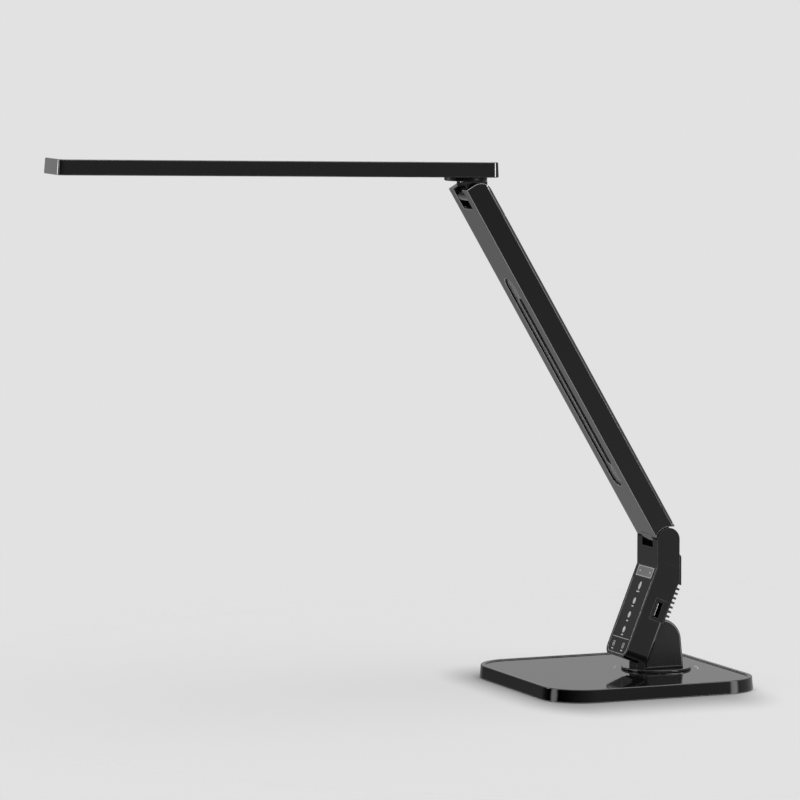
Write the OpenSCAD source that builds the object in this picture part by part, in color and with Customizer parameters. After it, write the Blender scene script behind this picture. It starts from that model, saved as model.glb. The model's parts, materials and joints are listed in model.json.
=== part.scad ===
// Folding LED desk lamp: weighted base, swivel neck, control column,
// upper arm and a long flat light head, joined by friction hinges.
// Millimetres, +Z up, +X to the lamp's left-hand side, the head reaches to -Y.
// The origin is the centre of the base on its underside.

/* [Base] */
// Width of the base
base_w = 180; // [150:1:220]
// Depth of the base
base_d = 181; // [150:1:220]
// Height of the base's wall
base_h = 10.2; // [9:0.1:14]
// Corner radius of the base
base_r = 33; // [20:1:45]
// How far the base's wall leans in over its height
base_lean = 1; // [0:0.1:2]
// Thickness of the base cover
cover_t = 2.2; // [1.6:0.1:3]
// Width of the raised rim round the tray
rim_w = 3.2; // [2:0.1:6]
// Depth of the tray below the rim
tray_drop = 0.9; // [0.4:0.1:1.4]
// Thickness of the bottom plate
plate_t = 1.6; // [1.5:0.1:2]
// Thickness of the steel weight
weight_t = 4.4; // [2:0.1:4.6]
// Diameter of a rubber foot
foot_d = 15; // [8:1:24]
// How far the feet stand out below the base
foot_out = 0.5; // [0.4:0.1:3]
// Distance of the feet from the edges of the base
foot_in = 24; // [18:1:36]
// Diameter of the power inlet's opening
inlet_d = 5.6; // [5:0.1:6]
// Diameter of the power inlet's centre pin
inlet_pin_d = 2.1; // [1.3:0.1:2.5]

/* [Neck] */
// Distance of the turntable's axis in front of the base's rear edge
turn_in = 54.5; // [40:0.5:68]
// Radius of the turntable
turn_r = 28; // [22:0.5:34]
// Thickness of the turntable
turn_t = 1.9; // [1.4:0.1:3]
// Radius of the turntable's stud
stud_r = 8; // [6:0.1:10]
// Width of the neck
neck_w = 32; // [28:0.5:34]
// Depth of the neck at its foot
neck_d = 34; // [30:0.5:38]
// Radius of the neck's round top
neck_r = 18.5; // [15:0.1:20]
// Height of the tilt pin above the base's underside
tilt_z = 32.7; // [30:0.1:40]
// Distance of the tilt pin in front of the turntable's axis
tilt_y = 3.7; // [0:0.1:6]
// Width of the slot in the neck
neck_slot_w = 15; // [12:0.5:18]

/* [Column] */
// Width of the column
col_w = 38; // [36:0.5:44]
// Wall thickness of the column's casing
col_wall = 2.2; // [1.6:0.1:2.4]
// Depth of the column's leaning part at its sides
col_depth = 22; // [20:0.5:26]
// Forward lean of the column's lower part, in degrees
col_lean = 22; // [15:0.1:26]
// Length of the column's leaning part
col_len = 76.5; // [72:0.5:80]
// Height of the bend in the column's front
bend_z = 92.7; // [88:0.1:98]
// Radius of the round corners at the column's foot
col_r = 7.5; // [3:0.5:10]
// Radius of the ears round the arm pin
ear_r = 9.7; // [8.5:0.05:11]
// Distance of the arm pin behind the tilt pin
pin_y = 5.25; // [0:0.1:8]
// Height of the arm pin above the tilt pin
pin_z = 82; // [78:0.1:88]
// Width of the gap between the ears
ear_gap = 20; // [16:0.5:22]
// Distance of the rear cover behind the arm pin
back_out = 11.35; // [10.5:0.1:14]
// Number of ribs on the ribbed cover
rib_count = 8; // [5:1:9]
// Distance between the ribs
rib_pitch = 3.87; // [3.4:0.01:4.2]
// Thickness of a rib
rib_t = 2; // [1.4:0.1:2.4]
// How far the ribs stand out of their plate
rib_h = 3.5; // [2:0.1:4]
// Width of the ribbed cover
rib_w = 32; // [24:0.5:32]
// Width of the display window
window_w = 28; // [20:0.5:30]
// Height of the display window
window_h = 8.8; // [7:0.1:12]
// Length of the socket's mouth
usb_w = 12.6; // [12.4:0.1:13]
// Height of the socket's mouth
usb_h = 5.2; // [5.0:0.1:5.6]
// Depth of the socket
usb_depth = 9; // [8:0.1:9]

/* [Upper arm] */
// Distance from the arm pin to the head pin, along the arm
arm_len = 323.4; // [260:1:360]
// Forward lean of the arm, in degrees
arm_lean = 30.5; // [20:0.5:40]
// Width of the arm
arm_w = 36; // [30:0.5:36]
// Thickness of the arm
arm_t = 19.2; // [17:0.2:22]
// How far the arm's middle lies behind the line of its pins
arm_back = 1.65; // [0.5:0.05:2.5]
// Wall thickness of the arm
arm_wall = 2.2; // [1.6:0.1:3]
// Radius of the arm's rear edges
arm_edge = 2.8; // [1:0.1:4]
// Width of the long recess in the arm's front
recess_w = 16; // [10:0.5:20]
// Depth of the long recess
recess_drop = 1.8; // [1:0.1:3]
// Distance of the recess's lower end from the arm pin
recess_foot = 54.5; // [52:0.5:90]
// Distance of the recess's upper end from the head pin
recess_head = 74.1; // [40:0.1:100]
// Width of the slot inside the recess
slot_w = 7; // [5:0.5:10]
// Distance of the slot's ends inside the recess's ends
slot_in = 19.5; // [8:0.5:28]

/* [Head] */
// Length of the head
head_len = 362.8; // [280:1:420]
// Width of the head
head_w = 39; // [36:0.5:60]
// Thickness of the head
head_t = 12; // [11:0.1:16]
// Corner radius of the head
head_r = 5; // [3:0.5:10]
// How far the head's sides lean in over its thickness
head_lean = 0.7; // [0:0.1:1.5]
// Upward pitch of the head, in degrees
head_pitch = 1.4; // [0:0.1:10]
// Length of the head behind the swivel axis
head_tail = 21.3; // [18:0.5:30]
// Height of the head's underside above the head pin
head_rise = 14; // [13.5:0.1:18]
// Distance of the swivel axis in front of the head pin
swivel_front = 2.8; // [0:0.1:5]
// Radius of the swivel disc under the head
disc_r = 16.8; // [14:0.1:18]
// Thickness of the swivel disc
disc_t = 3.4; // [2:0.1:4]
// Width of the knuckle between the arm's cheeks
knuckle_w = 17.4; // [14:0.1:18]
// Radius of the knuckle's round lug
lug_r = 5.6; // [5.2:0.1:6]
// Distance of the light window from the head's front end
light_in = 12.1; // [11.5:0.1:80]
// Distance of the light window's rear end in front of the swivel axis
light_back = 29; // [24:0.5:80]
// Width of the light window
light_w = 29; // [20:0.5:30]
// Number of diodes on each strip
led_count = 24; // [8:1:30]

/* [Pins and fits] */
// Radius of the tilt pin
tilt_pin_r = 3; // [2.5:0.1:4]
// Radius of the arm pin
arm_pin_r = 3; // [2.5:0.1:3.5]
// Radius of the head pin
head_pin_r = 2; // [1.5:0.1:2.5]
// Radial clearance of a turning pin in its bore
run_fit = 0.06; // [0.02:0.01:0.1]
// Gap between pieces that move past each other
move_gap = 0.35; // [0.3:0.05:0.6]
// Radius of the small screws
screw_r = 1.25; // [1:0.05:1.5]
// Radius of the small screws' heads
screw_head_r = 2.4; // [2:0.1:3]
// Height of the small screws' heads
screw_head_t = 1.1; // [0.8:0.1:1.2]

/* [Hidden] */
$fn = 64;
EPS = 0.01;

// Shared by several groups; far reaches past every piece
far = 2 * (base_w + base_d);
screw_gap = 0.2;
thread_fit = 0.02;

// Base, derived
tray_z = base_h - tray_drop;
ceiling_z = tray_z - cover_t;
rim_edge = 0.9;
side_gap = 0.3;
inner_w = base_w - 2 * (cover_t + base_lean);
inner_d = base_d - 2 * (cover_t + base_lean);
inner_r = base_r - cover_t - base_lean;
plate_w = inner_w - 2 * side_gap;
plate_d = inner_d - 2 * side_gap;
plate_r = inner_r - side_gap;
foot_x = base_w / 2 - foot_in;
foot_y = base_d / 2 - foot_in;
boss_r = screw_r + 2.1;
boss_x = base_w / 2 - foot_in - foot_d / 2 - 6;
boss_y = foot_y;
base_screw_z = screw_head_t + 0.05;
base_screw_l = 4.2;
inlet_w = 13;
inlet_l = 14;
inlet_z = plate_t + (ceiling_z - plate_t) / 2;
inlet_depth = 9.5;
inlet_y = base_d / 2;

// Swivel, derived
turn_y = base_d / 2 - turn_in;
turn_gap = 0.2;
turn_z = tray_z + turn_gap;
neck_z = turn_z + turn_t;
bush_flange_t = 1;
bush_r = stud_r + 2;
bush_flange_r = bush_r + 4;
washer_t = 0.5;
swivel_washer_z = ceiling_z - bush_flange_t - washer_t - 0.05;
nut_t = 1.9;
nut_z = swivel_washer_z - nut_t - 0.05;
nut_r = stud_r + 5;
stud_bore_r = stud_r - 2.6;
stud_foot_z = nut_z;
weight_hole_r = bush_flange_r + 2;

// Neck, derived
tilt_y_abs = turn_y - tilt_y;
neck_front = turn_y - neck_d / 2;
neck_back = turn_y + neck_d / 2;
neck_edge = 2;
slot_floor_z = neck_z + 7;
neck_screw_z = turn_z + turn_t - 0.6;
neck_screw_l = 6;

// Column, derived; the column is drawn about the tilt pin's place
pin_abs_y = tilt_y_abs + pin_y;
pin_abs_z = tilt_z + pin_z;
front_y = pin_abs_y - ear_r;
back_y = pin_abs_y + ear_r;
cover_y = pin_abs_y + back_out;
shelf_z = bend_z + 10;
edge_w = 3.5;
seam = 0.02;
slit_w = neck_w + 2 * move_gap;
cover_foot_z = bend_z - 15;
// Limits of the column's tilt, backward and forward, in degrees
tilt_back = 25;
tilt_fore = 15;
gap_floor_z = shelf_z + 5.6;
cavity_top_z = shelf_z + 1 - col_wall;
tongue_eye_r = arm_t / 2 - arm_back;
bevel_s = 40;
panel_t = 1;
panel_w = col_w - 3;
panel_top = 0.7;
panel_foot = col_len - 1.6;
window_s = 0.9;
board_t = 1.6;
board_w = 29;
board_top = 4;
board_foot = 62;
usb_y = 12.9;
usb_s = 31.1;
usb_wall = 0.35;
plate_in = 0.9;
rib_top = 8.5;
rib_plate_t = 2.4;
rib_cover_len = rib_pitch * (rib_count - 1) + 6.5;
bracket_w = neck_slot_w - 2 * move_gap;
bracket_t = 4;
bracket_y = 5.2;
bracket_bolts = [35, 46];
bracket_eye_r = 8.4;
cover_bolt_x = 12.5;
cover_bolt_z = bend_z + 5;
ear_washer_t = 0.6;
tongue_w = ear_gap - 2 * (ear_washer_t + 0.2);

// Arm, derived; the arm is drawn upright about the arm pin
arm_front = arm_back - arm_t / 2;
arm_rear = arm_back + arm_t / 2;
head_pin_y = arm_front + 6.1;
cheek_gap = knuckle_w + 2 * 0.5;
ear_clear_r = ear_r + 0.65;
heel_z = 5.3;
cover_step_z = 9.2;
crown_r = 11.5;
crown_z = arm_len + 8.2;
notch_z = arm_len - 9.6;
cheek_z = arm_len - 26;
back_t = 2.4;
recess_len = arm_len - recess_foot - recess_head;
recess_mid = recess_foot + recess_len / 2;
slot_len = recess_len - 2 * slot_in;
tongue_top = 46;
tongue_bolts = [22, 38];
cable_w = 7;

// Head, derived; the head is drawn level about the head pin
under_z = head_rise;
disc_z = under_z - disc_t;
swivel_y = -swivel_front;
knuckle_stud_r = 5;
knuckle_bore_r = 2.4;
knuckle_washer_t = 0.6;
knuckle_nut_t = 2;
frame_floor = 1.8;
boss_t = 1.6;
disc_gap = 0.2;
head_wall = 1.8;
cover_plate_t = 1.8;
head_front_y = swivel_y + head_tail - head_len;
head_mid_y = swivel_y + head_tail - head_len / 2;
light_len = head_len - head_tail - light_in - light_back;
light_y = swivel_y - light_back - light_len / 2;
head_bolt_out = 6.5;
heat_out = head_bolt_out + 2.2;
diffuser_t = 1.2;
guide_t = 2;
guide_w = light_w + 1;
reflector_t = 0.3;
heat_t = 1.4;
strip_t = 0.8;
chip_t = 0.5;
guide_z = under_z + frame_floor + diffuser_t - 0.4;
heat_z = guide_z + guide_t + reflector_t + 0.1;
head_top_z = under_z + head_t;
pocket_w = head_w - 2 * head_wall - head_lean;

// Place of the head pin
head_pin_abs_y = pin_abs_y + head_pin_y * cos(arm_lean) - arm_len * sin(arm_lean);
head_pin_abs_z = pin_abs_z + head_pin_y * sin(arm_lean) + arm_len * cos(arm_lean);

// ---- places -------------------------------------------------------------

// Puts a piece drawn upright about the arm pin in its place
module on_arm() {
  translate([0, pin_abs_y, pin_abs_z]) rotate([arm_lean, 0, 0]) children();
}

// Puts a piece drawn level about the head pin in its place
module on_head() {
  translate([0, head_pin_abs_y, head_pin_abs_z]) rotate([-head_pitch, 0, 0]) children();
}

// Puts a piece drawn on the column's leaning front: X across, Y inwards, Z up the slope
module on_slope() {
  translate([0, front_y, bend_z]) rotate([-col_lean, 0, 0]) children();
}

// ---- shapes -------------------------------------------------------------

// A rounded rectangle
module round_rect(w, d, r) {
  for (x = [-1, 1], y = [-1, 1]) translate([x * (w / 2 - r), y * (d / 2 - r)]) circle(r);
  square([w - 2 * r, d], center = true);
  square([w, d - 2 * r], center = true);
}

// A rounded rectangular plate
module round_plate(w, d, r, t) {
  linear_extrude(t) round_rect(w, d, r);
}

// Sweeps a profile, drawn outwards from the corner's centre, round a rounded rectangle
module sweep_rect(w, d, r) {
  for (x = [-1, 1], y = [-1, 1])
    translate([x * (w / 2 - r), y * (d / 2 - r), 0])
      rotate_extrude() intersection() {
        children();
        translate([0, -far / 2]) square([r + far / 2, far]);
      }
  rotate([90, 0, 0]) linear_extrude(d - 2 * r, center = true)
    for (m = [0, 1]) mirror([m, 0]) translate([w / 2 - r, 0]) children();
  rotate([90, 0, 90]) linear_extrude(w - 2 * r, center = true)
    for (m = [0, 1]) mirror([m, 0]) translate([d / 2 - r, 0]) children();
}

// A slab of a convex profile whose edges are rounded by e
module soft_slab(w, e) {
  hull() for (a = [0, 45, 90])
    linear_extrude(w - 2 * e + 2 * e * sin(a), center = true)
      offset(delta = -e * (1 - cos(a))) children();
}

// A bar along X, centred
module x_bar(r, l) {
  rotate([0, 90, 0]) cylinder(r = r, h = l, center = true);
}

// A ring along X from x0 to x1
module x_ring(r_out, r_in, x0, x1) {
  translate([x0, 0, 0]) rotate([0, 90, 0]) difference() {
    cylinder(r = r_out, h = x1 - x0);
    translate([0, 0, -1]) cylinder(r = r_in, h = x1 - x0 + 2);
  }
}

// A stadium, long along Y
module stadium(w, l) {
  for (y = [-1, 1]) translate([0, y * (l - w) / 2]) circle(w / 2);
  square([w, l - w], center = true);
}

// A pan-head screw pointing down from its head at the origin
module screw_down(l) {
  translate([0, 0, -l]) cylinder(r = screw_r, h = l + EPS);
  difference() {
    cylinder(r = screw_head_r, h = screw_head_t);
    translate([0, 0, screw_head_t]) for (a = [0, 90]) rotate(a) cube([screw_head_r, 0.6, 1.2], center = true);
  }
}

// Places children at the four bosses of the base
module at_bosses() {
  for (x = [-1, 1], y = [-1, 1]) translate([x * boss_x, y * boss_y, 0]) children();
}

// ---- base ---------------------------------------------------------------

// Half section of the base's outside, drawn outwards from a corner's centre
module base_profile(reach) {
  edge_z = base_h - rim_edge;
  edge_x = base_r - base_lean * edge_z / base_h;
  polygon([[-reach, 0], [base_r, 0], [edge_x, edge_z], [edge_x - rim_edge, edge_z],
           [edge_x - rim_edge, base_h], [-reach, base_h]]);
  translate([edge_x - rim_edge, edge_z]) circle(rim_edge);
}

// The hollow under the cover
module base_hollow() {
  translate([0, 0, -1]) round_plate(inner_w, inner_d, inner_r, ceiling_z + 1);
}

// The power inlet's housing, without its mouth
module inlet_block(gap) {
  translate([-inlet_w / 2 - gap, inlet_y - cover_t - base_lean - inlet_l, plate_t])
    cube([inlet_w + 2 * gap, inlet_l + 3, ceiling_z - plate_t]);
}

module base_cover() {
  reach = min(base_w, base_d) / 2 - base_r;
  tray_r = base_r - base_lean - rim_w;
  color("#1a1a1c") difference() {
    union() {
      difference() {
        sweep_rect(base_w, base_d, base_r) base_profile(reach);
        translate([0, 0, tray_z])
          round_plate(base_w - 2 * (base_lean + rim_w), base_d - 2 * (base_lean + rim_w), tray_r, 5);
        base_hollow();
      }
      at_bosses() translate([0, 0, plate_t]) cylinder(r = boss_r, h = ceiling_z - plate_t + EPS);
    }
    at_bosses() translate([0, 0, plate_t - 1]) cylinder(r = screw_r + thread_fit, h = base_screw_l + base_screw_z - plate_t + 1.2);
    translate([0, turn_y, 0]) cylinder(r = bush_r, h = 20);
    translate([0, inlet_y - 8, inlet_z]) rotate([-90, 0, 0]) cylinder(r = inlet_d / 2 + 0.8, h = 20);
  }
}

module base_weight() {
  color("silver") difference() {
    translate([0, 0, plate_t])
      round_plate(plate_w - 6, plate_d - 6, plate_r - 3, weight_t);
    translate([0, turn_y, -1]) cylinder(r = weight_hole_r, h = 20);
    at_bosses() translate([0, 0, -1]) cylinder(r = boss_r + 0.5, h = 20);
    inlet_block(1);
  }
}

module base_plate() {
  color("#202022") difference() {
    round_plate(plate_w, plate_d, plate_r, plate_t);
    at_bosses() translate([0, 0, -1]) cylinder(r = screw_r + screw_gap, h = 5);
    at_bosses() translate([0, 0, -1]) cylinder(r = screw_head_r + screw_gap, h = 1 + base_screw_z);
    for (x = [-1, 1], y = [-1, 1])
      translate([x * foot_x, y * foot_y, -1]) cylinder(r = foot_d / 2 + 0.1, h = 1.6);
  }
}

module rubber_feet() {
  color("#111112") for (x = [-1, 1], y = [-1, 1]) translate([x * foot_x, y * foot_y, -foot_out])
    rotate_extrude() polygon([[0, 0], [foot_d / 2 - 0.8, 0], [foot_d / 2 - 0.1, 0.7],
                              [foot_d / 2 - 0.1, foot_out + 0.6], [0, foot_out + 0.6]]);
}

module base_screws() {
  color("silver") at_bosses() translate([0, 0, base_screw_z]) mirror([0, 0, 1]) screw_down(base_screw_l);
}

module inlet_housing() {
  color("#161618") difference() {
    intersection() {
      inlet_block(0);
      base_hollow();
    }
    translate([0, inlet_y - cover_t - base_lean - inlet_depth, inlet_z])
      rotate([-90, 0, 0]) cylinder(r = inlet_d / 2, h = 20);
    translate([0, inlet_y - cover_t - base_lean - inlet_l - 1, inlet_z])
      rotate([-90, 0, 0]) cylinder(r = 0.6, h = 20);
  }
}

module inlet_pin() {
  color("silver") translate([0, inlet_y - cover_t - base_lean - inlet_depth, inlet_z]) rotate([-90, 0, 0]) union() {
    cylinder(r = inlet_pin_d / 2, h = inlet_depth - 1);
    translate([0, 0, -2]) cylinder(r = 0.55, h = 3);
  }
}

// ---- swivel and neck ----------------------------------------------------

module swivel_bush() {
  color("ivory") translate([0, turn_y, 0]) difference() {
    union() {
      translate([0, 0, ceiling_z - bush_flange_t]) cylinder(r = bush_flange_r, h = bush_flange_t);
      translate([0, 0, ceiling_z - bush_flange_t]) cylinder(r = bush_r - 0.05, h = cover_t + bush_flange_t);
    }
    cylinder(r = stud_r + run_fit, h = 30);
  }
}

module turntable() {
  color("#1a1a1c") translate([0, turn_y, 0]) difference() {
    union() {
      translate([0, 0, turn_z]) rotate_extrude() {
        polygon([[0, 0], [turn_r - 0.3, 0], [turn_r, 0.4], [turn_r, turn_t - 0.6],
                 [turn_r - 0.6, turn_t - 0.6], [turn_r - 0.6, turn_t], [0, turn_t]]);
        translate([turn_r - 0.6, turn_t - 0.6]) circle(0.6);
      }
      translate([0, 0, stud_foot_z]) cylinder(r = stud_r, h = turn_z - stud_foot_z + 1);
    }
    cylinder(r = stud_bore_r, h = 30);
    neck_screw_places() translate([0, 0, -1]) cylinder(r = screw_r + screw_gap, h = 30);
    neck_screw_places() translate([0, 0, -1]) cylinder(r = screw_head_r + screw_gap, h = 1 + neck_screw_z);
  }
}

// Places children at the screws that hold the neck on the turntable
module neck_screw_places() {
  for (x = [-1, 1], y = [-1, 1]) translate([x * 11.4, y * 12, 0]) children();
}

module swivel_washer() {
  color("silver") translate([0, turn_y, swivel_washer_z]) difference() {
    cylinder(r = bush_flange_r - 1, h = washer_t);
    translate([0, 0, -1]) cylinder(r = stud_r + 0.1, h = 5);
  }
}

module swivel_nut() {
  color("silver") translate([0, turn_y, nut_z]) difference() {
    cylinder(r = nut_r, h = nut_t, $fn = 6);
    translate([0, 0, -1]) cylinder(r = stud_r + 0.02, h = 5, $fn = 64);
  }
}

// Side profile of the neck
module neck_profile() {
  polygon([[neck_front, neck_z], [neck_back, neck_z], [tilt_y_abs + neck_r, tilt_z],
           [neck_front, tilt_z]]);
  intersection() {
    translate([tilt_y_abs, tilt_z]) circle(neck_r);
    translate([neck_front, tilt_z - 1]) square([far, far]);
  }
}

// Turns a side profile, drawn as Y and Z, into a slab across X
module across(w) {
  rotate([90, 0, 90]) linear_extrude(w, center = true) children();
}

// Both halves of the neck as one
module neck_body() {
  difference() {
    intersection() {
      rotate([90, 0, 90]) soft_slab(neck_w, 1.4) neck_profile();
      translate([0, turn_y, 0]) linear_extrude(far) intersection() {
        translate([0, 10]) round_rect(neck_w, neck_d + 20, neck_edge);
        translate([0, -10]) square([neck_w, neck_d + 40], center = true);
      }
    }
    across(neck_slot_w) polygon([[neck_front - 5, slot_floor_z], [tilt_y_abs + 9, slot_floor_z],
                                 [tilt_y_abs + 9, tilt_z + 30], [neck_front - 5, tilt_z + 30]]);
    translate([0, tilt_y_abs, tilt_z]) x_bar(tilt_pin_r + 0.02, neck_w - 6);
    translate([0, turn_y, 0]) cylinder(r = stud_bore_r, h = slot_floor_z + 1);
    translate([0, turn_y, 0]) neck_screw_places() cylinder(r = screw_r + thread_fit, h = neck_z + 8);
  }
}

// Keeps the half of its children on one side of X = 0
module half(side) {
  intersection() {
    children();
    translate([side * far / 2, 0, 0]) cube([far, 2 * far, 2 * far], center = true);
  }
}

module neck_left() {
  color("#1a1a1c") half(-1) neck_body();
}

module neck_right() {
  color("#1a1a1c") half(1) neck_body();
}

module neck_screws() {
  color("silver") translate([0, turn_y, neck_screw_z])
    neck_screw_places() rotate([180, 0, 0]) screw_down(neck_screw_l);
}

module tilt_pin() {
  color("silver") translate([0, tilt_y_abs, tilt_z]) x_bar(tilt_pin_r, neck_w - 6.2);
}

// ---- column -------------------------------------------------------------

// Lays an outline of the slope on its front and gives it depth from y0 to y1
module slope_block(y0, y1) {
  on_slope() translate([0, y0, 0]) rotate([-90, 0, 0]) linear_extrude(y1 - y0) children();
}

// Half section of the leaning part, drawn outwards from a corner's centre
module slope_section(reach) {
  polygon([[-reach, 0], [col_r, 0], [col_r, col_depth - edge_w], [col_r - edge_w, col_depth - edge_w],
           [col_r - edge_w, col_depth], [-reach, col_depth]]);
  translate([col_r - edge_w, col_depth - edge_w]) circle(edge_w);
}

// The leaning part of the column, its rear edges rounded below the socket
module slope_body() {
  top = bevel_s - 3 * col_r;
  slope_block(0, col_depth) translate([-col_w / 2, -6]) square([col_w, bevel_s + 6]);
  on_slope() rotate([-90, 0, 0]) translate([0, (top + col_len) / 2, 0])
    sweep_rect(col_w, col_len - top, col_r) slope_section(min(col_w, col_len - top) / 2 - col_r);
}

// Side profile of the upright part, with the ears
module upright_profile() {
  polygon([[front_y, bend_z - 4], [front_y, pin_abs_z], [back_y, pin_abs_z], [back_y, bend_z - 12],
           [back_y - 2.5, bend_z - 17], [front_y + 5, bend_z - 10]]);
  intersection() {
    translate([pin_abs_y, pin_abs_z]) circle(ear_r);
    translate([front_y - 5, pin_abs_z - 1]) square([50, 50]);
  }
}

// The space that the neck sweeps inside the column
module neck_sweep() {
  across(slit_w) translate([tilt_y_abs, tilt_z]) {
    circle(neck_r + 2 * move_gap);
    for (a = [-tilt_fore - 2:2:tilt_back + 2]) rotate(a) translate([-tilt_y_abs, -tilt_z])
      polygon([[neck_front - move_gap, neck_z - 8], [neck_back + 4, neck_z - 8],
               [tilt_y_abs + neck_r, tilt_z], [neck_front - move_gap, tilt_z]]);
  }
}

// Outline of the touch panel
module panel_outline(e) {
  r = col_r - 1.8;
  translate([0, (panel_top + panel_foot) / 2]) intersection() {
    round_rect(panel_w - 2 * e, panel_foot - panel_top - 2 * e, r);
    square([col_w, col_len], center = true);
  }
  translate([-panel_w / 2 + e, panel_top + e]) square([panel_w - 2 * e, 20]);
}

// A hole or bar through the column's side at the socket, along X
module usb_bar(w, h, x0, x1) {
  on_slope() translate([x0, usb_y - h / 2, -usb_s - w / 2]) cube([x1 - x0, h, w]);
}

// Outline of the socket's cover plate, as a bar along X
module usb_plate_bar(e, x0, x1) {
  on_slope() translate([x0, usb_y - 4.6 + e, -usb_s - 8.6 + e])
    cube([x1 - x0, col_depth - usb_y + 3.6 - 2 * e, 17.2 - 2 * e]);
}

module column_casing() {
  color("#18181a") difference() {
    union() {
      difference() {
        union() {
          across(col_w - 2 * seam) upright_profile();
          difference() {
            slope_body();
            across(col_w + 2) translate([back_y - 0.02, cover_foot_z - 0.5]) square([20, 60]);
          }
        }
        // hollow of the upright part
        across(col_w - 2 * col_wall - 2 * seam)
          polygon([[front_y + col_wall, bend_z - 1], [front_y + col_wall, cavity_top_z],
                   [back_y + 1, cavity_top_z], [back_y + 1, bend_z - 14], [front_y + 10, bend_z - 14]]);
        // hollow of the leaning part
        on_slope() translate([-col_w / 2 + col_wall, col_wall, -col_len + col_wall])
          cube([col_w - 2 * col_wall, col_depth - 2 * col_wall, col_len + 2]);
      }
      // bosses for the rear cover and the bracket
      for (x = [-1, 1]) translate([x * cover_bolt_x, front_y + 1, cover_bolt_z]) rotate([-90, 0, 0])
        cylinder(r = 3.2, h = back_y - front_y - 3.2);
      on_slope() for (s = bracket_bolts) translate([0, 1.2, -s]) rotate([-90, 0, 0])
        cylinder(r = 3.6, h = bracket_y - 1.2);
    }
    // gap between the ears
    translate([-ear_gap / 2, front_y - 5, gap_floor_z]) cube([ear_gap, 40, 60]);
    translate([0, pin_abs_y, pin_abs_z]) x_bar(tongue_eye_r + move_gap, ear_gap);
    translate([0, pin_abs_y, pin_abs_z]) x_bar(arm_pin_r + 0.02, col_w - 6);
    neck_sweep();
    // window of the ribbed cover
    on_slope() translate([-rib_w / 2 - 0.15, col_depth - col_wall - 2, -rib_top + 3 - rib_cover_len - 0.3])
      cube([rib_w + 0.3, 12, rib_cover_len + 0.5]);
    // seat of the touch panel
    slope_block(-2, panel_t) panel_outline(-0.1);
    // socket and its plate
    usb_bar(usb_w + 2 * usb_wall + 0.2, usb_h + 2 * usb_wall + 0.2, 10, 30);
    usb_plate_bar(-0.1, col_w / 2 - plate_in, 30);
    // screw holes
    for (x = [-1, 1]) translate([x * cover_bolt_x, back_y + 1, cover_bolt_z]) rotate([90, 0, 0])
      cylinder(r = screw_r + thread_fit, h = 12);
    on_slope() for (s = bracket_bolts) translate([0, 1.3, -s]) rotate([-90, 0, 0])
      cylinder(r = screw_r + thread_fit, h = 12);
  }
}

module column_back_cover() {
  lip = 1.8;
  color("#18181a") difference() {
    union() {
      across(col_w) polygon([[back_y + 0.02, cover_foot_z + 0.6], [cover_y, cover_foot_z], [cover_y, shelf_z - 2.2],
                             [cover_y - 0.8, shelf_z - 0.6], [back_y + 0.02, shelf_z]]);
      translate([-col_w / 2 + col_wall + 0.15, back_y - lip, bend_z - 13])
        cube([col_w - 2 * col_wall - 0.3, lip + 0.1, cavity_top_z - bend_z + 12.8]);
    }
    for (x = [-1, 1]) translate([x * cover_bolt_x, cover_y + 1, cover_bolt_z]) rotate([90, 0, 0]) {
      cylinder(r = screw_r + screw_gap, h = 12);
      cylinder(r = screw_head_r + screw_gap, h = 2.4);
    }
    // room for the rear ends of the casing's bosses
    for (x = [-1, 1]) translate([x * cover_bolt_x, back_y - lip - 1, cover_bolt_z]) rotate([-90, 0, 0])
      cylinder(r = 3.4, h = 1);
  }
}

module column_screws() {
  color("silver") for (x = [-1, 1])
    translate([x * cover_bolt_x, cover_y - 1.35, cover_bolt_z]) rotate([-90, 0, 0]) screw_down(9);
}

module ribbed_cover() {
  top = rib_top - 3;
  color("#161618") difference() {
    on_slope() union() {
      translate([-rib_w / 2, col_depth - 1.4, -top - rib_cover_len]) cube([rib_w, rib_plate_t, rib_cover_len]);
      for (i = [0:rib_count - 1])
        translate([-rib_w / 2, col_depth - 1.4 + rib_plate_t - EPS, -rib_top - rib_pitch * i - rib_t])
          rotate([0, 90, 0]) linear_extrude(rib_w)
            polygon([[-rib_t, 0], [0.3, 0], [0, rib_h], [-rib_t + 0.5, rib_h]]);
    }
    across(rib_w + 2) translate([tilt_y_abs, tilt_z]) circle(neck_r + 2 * move_gap);
    across(rib_w + 8) translate([back_y - 2, cover_foot_z - 0.3]) square([10, 20]);
  }
}

module touch_panel() {
  color("#101012") difference() {
    slope_block(0, panel_t - 0.02) panel_outline(0);
    slope_block(-1, 3) translate([-window_w / 2, window_s]) square([window_w, window_h]);
  }
}

module display_window() {
  color("#8c8c90") slope_block(0.1, panel_t - 0.02)
    translate([-window_w / 2 + 0.1, window_s + 0.1]) square([window_w - 0.2, window_h - 0.2]);
}

module control_board() {
  color("#1d5a38") difference() {
    slope_block(col_wall + 0.02, col_wall + board_t)
      translate([-board_w / 2, board_top]) square([board_w, board_foot - board_top]);
    on_slope() for (s = bracket_bolts) translate([0, 0, -s]) rotate([-90, 0, 0])
      cylinder(r = 3.8, h = 12);
    translate([-cover_bolt_x, 0, cover_bolt_z]) rotate([-90, 0, 0]) cylinder(r = 3.6, h = 80);
    translate([cover_bolt_x, 0, cover_bolt_z]) rotate([-90, 0, 0]) cylinder(r = 3.6, h = 80);
  }
}

module usb_shell() {
  x1 = col_w / 2 - plate_in - 0.05;
  color("silver") difference() {
    usb_bar(usb_w + 2 * usb_wall, usb_h + 2 * usb_wall, x1 - usb_depth, x1);
    usb_bar(usb_w, usb_h, x1 - usb_depth + usb_wall, x1 + 1);
  }
}

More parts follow.
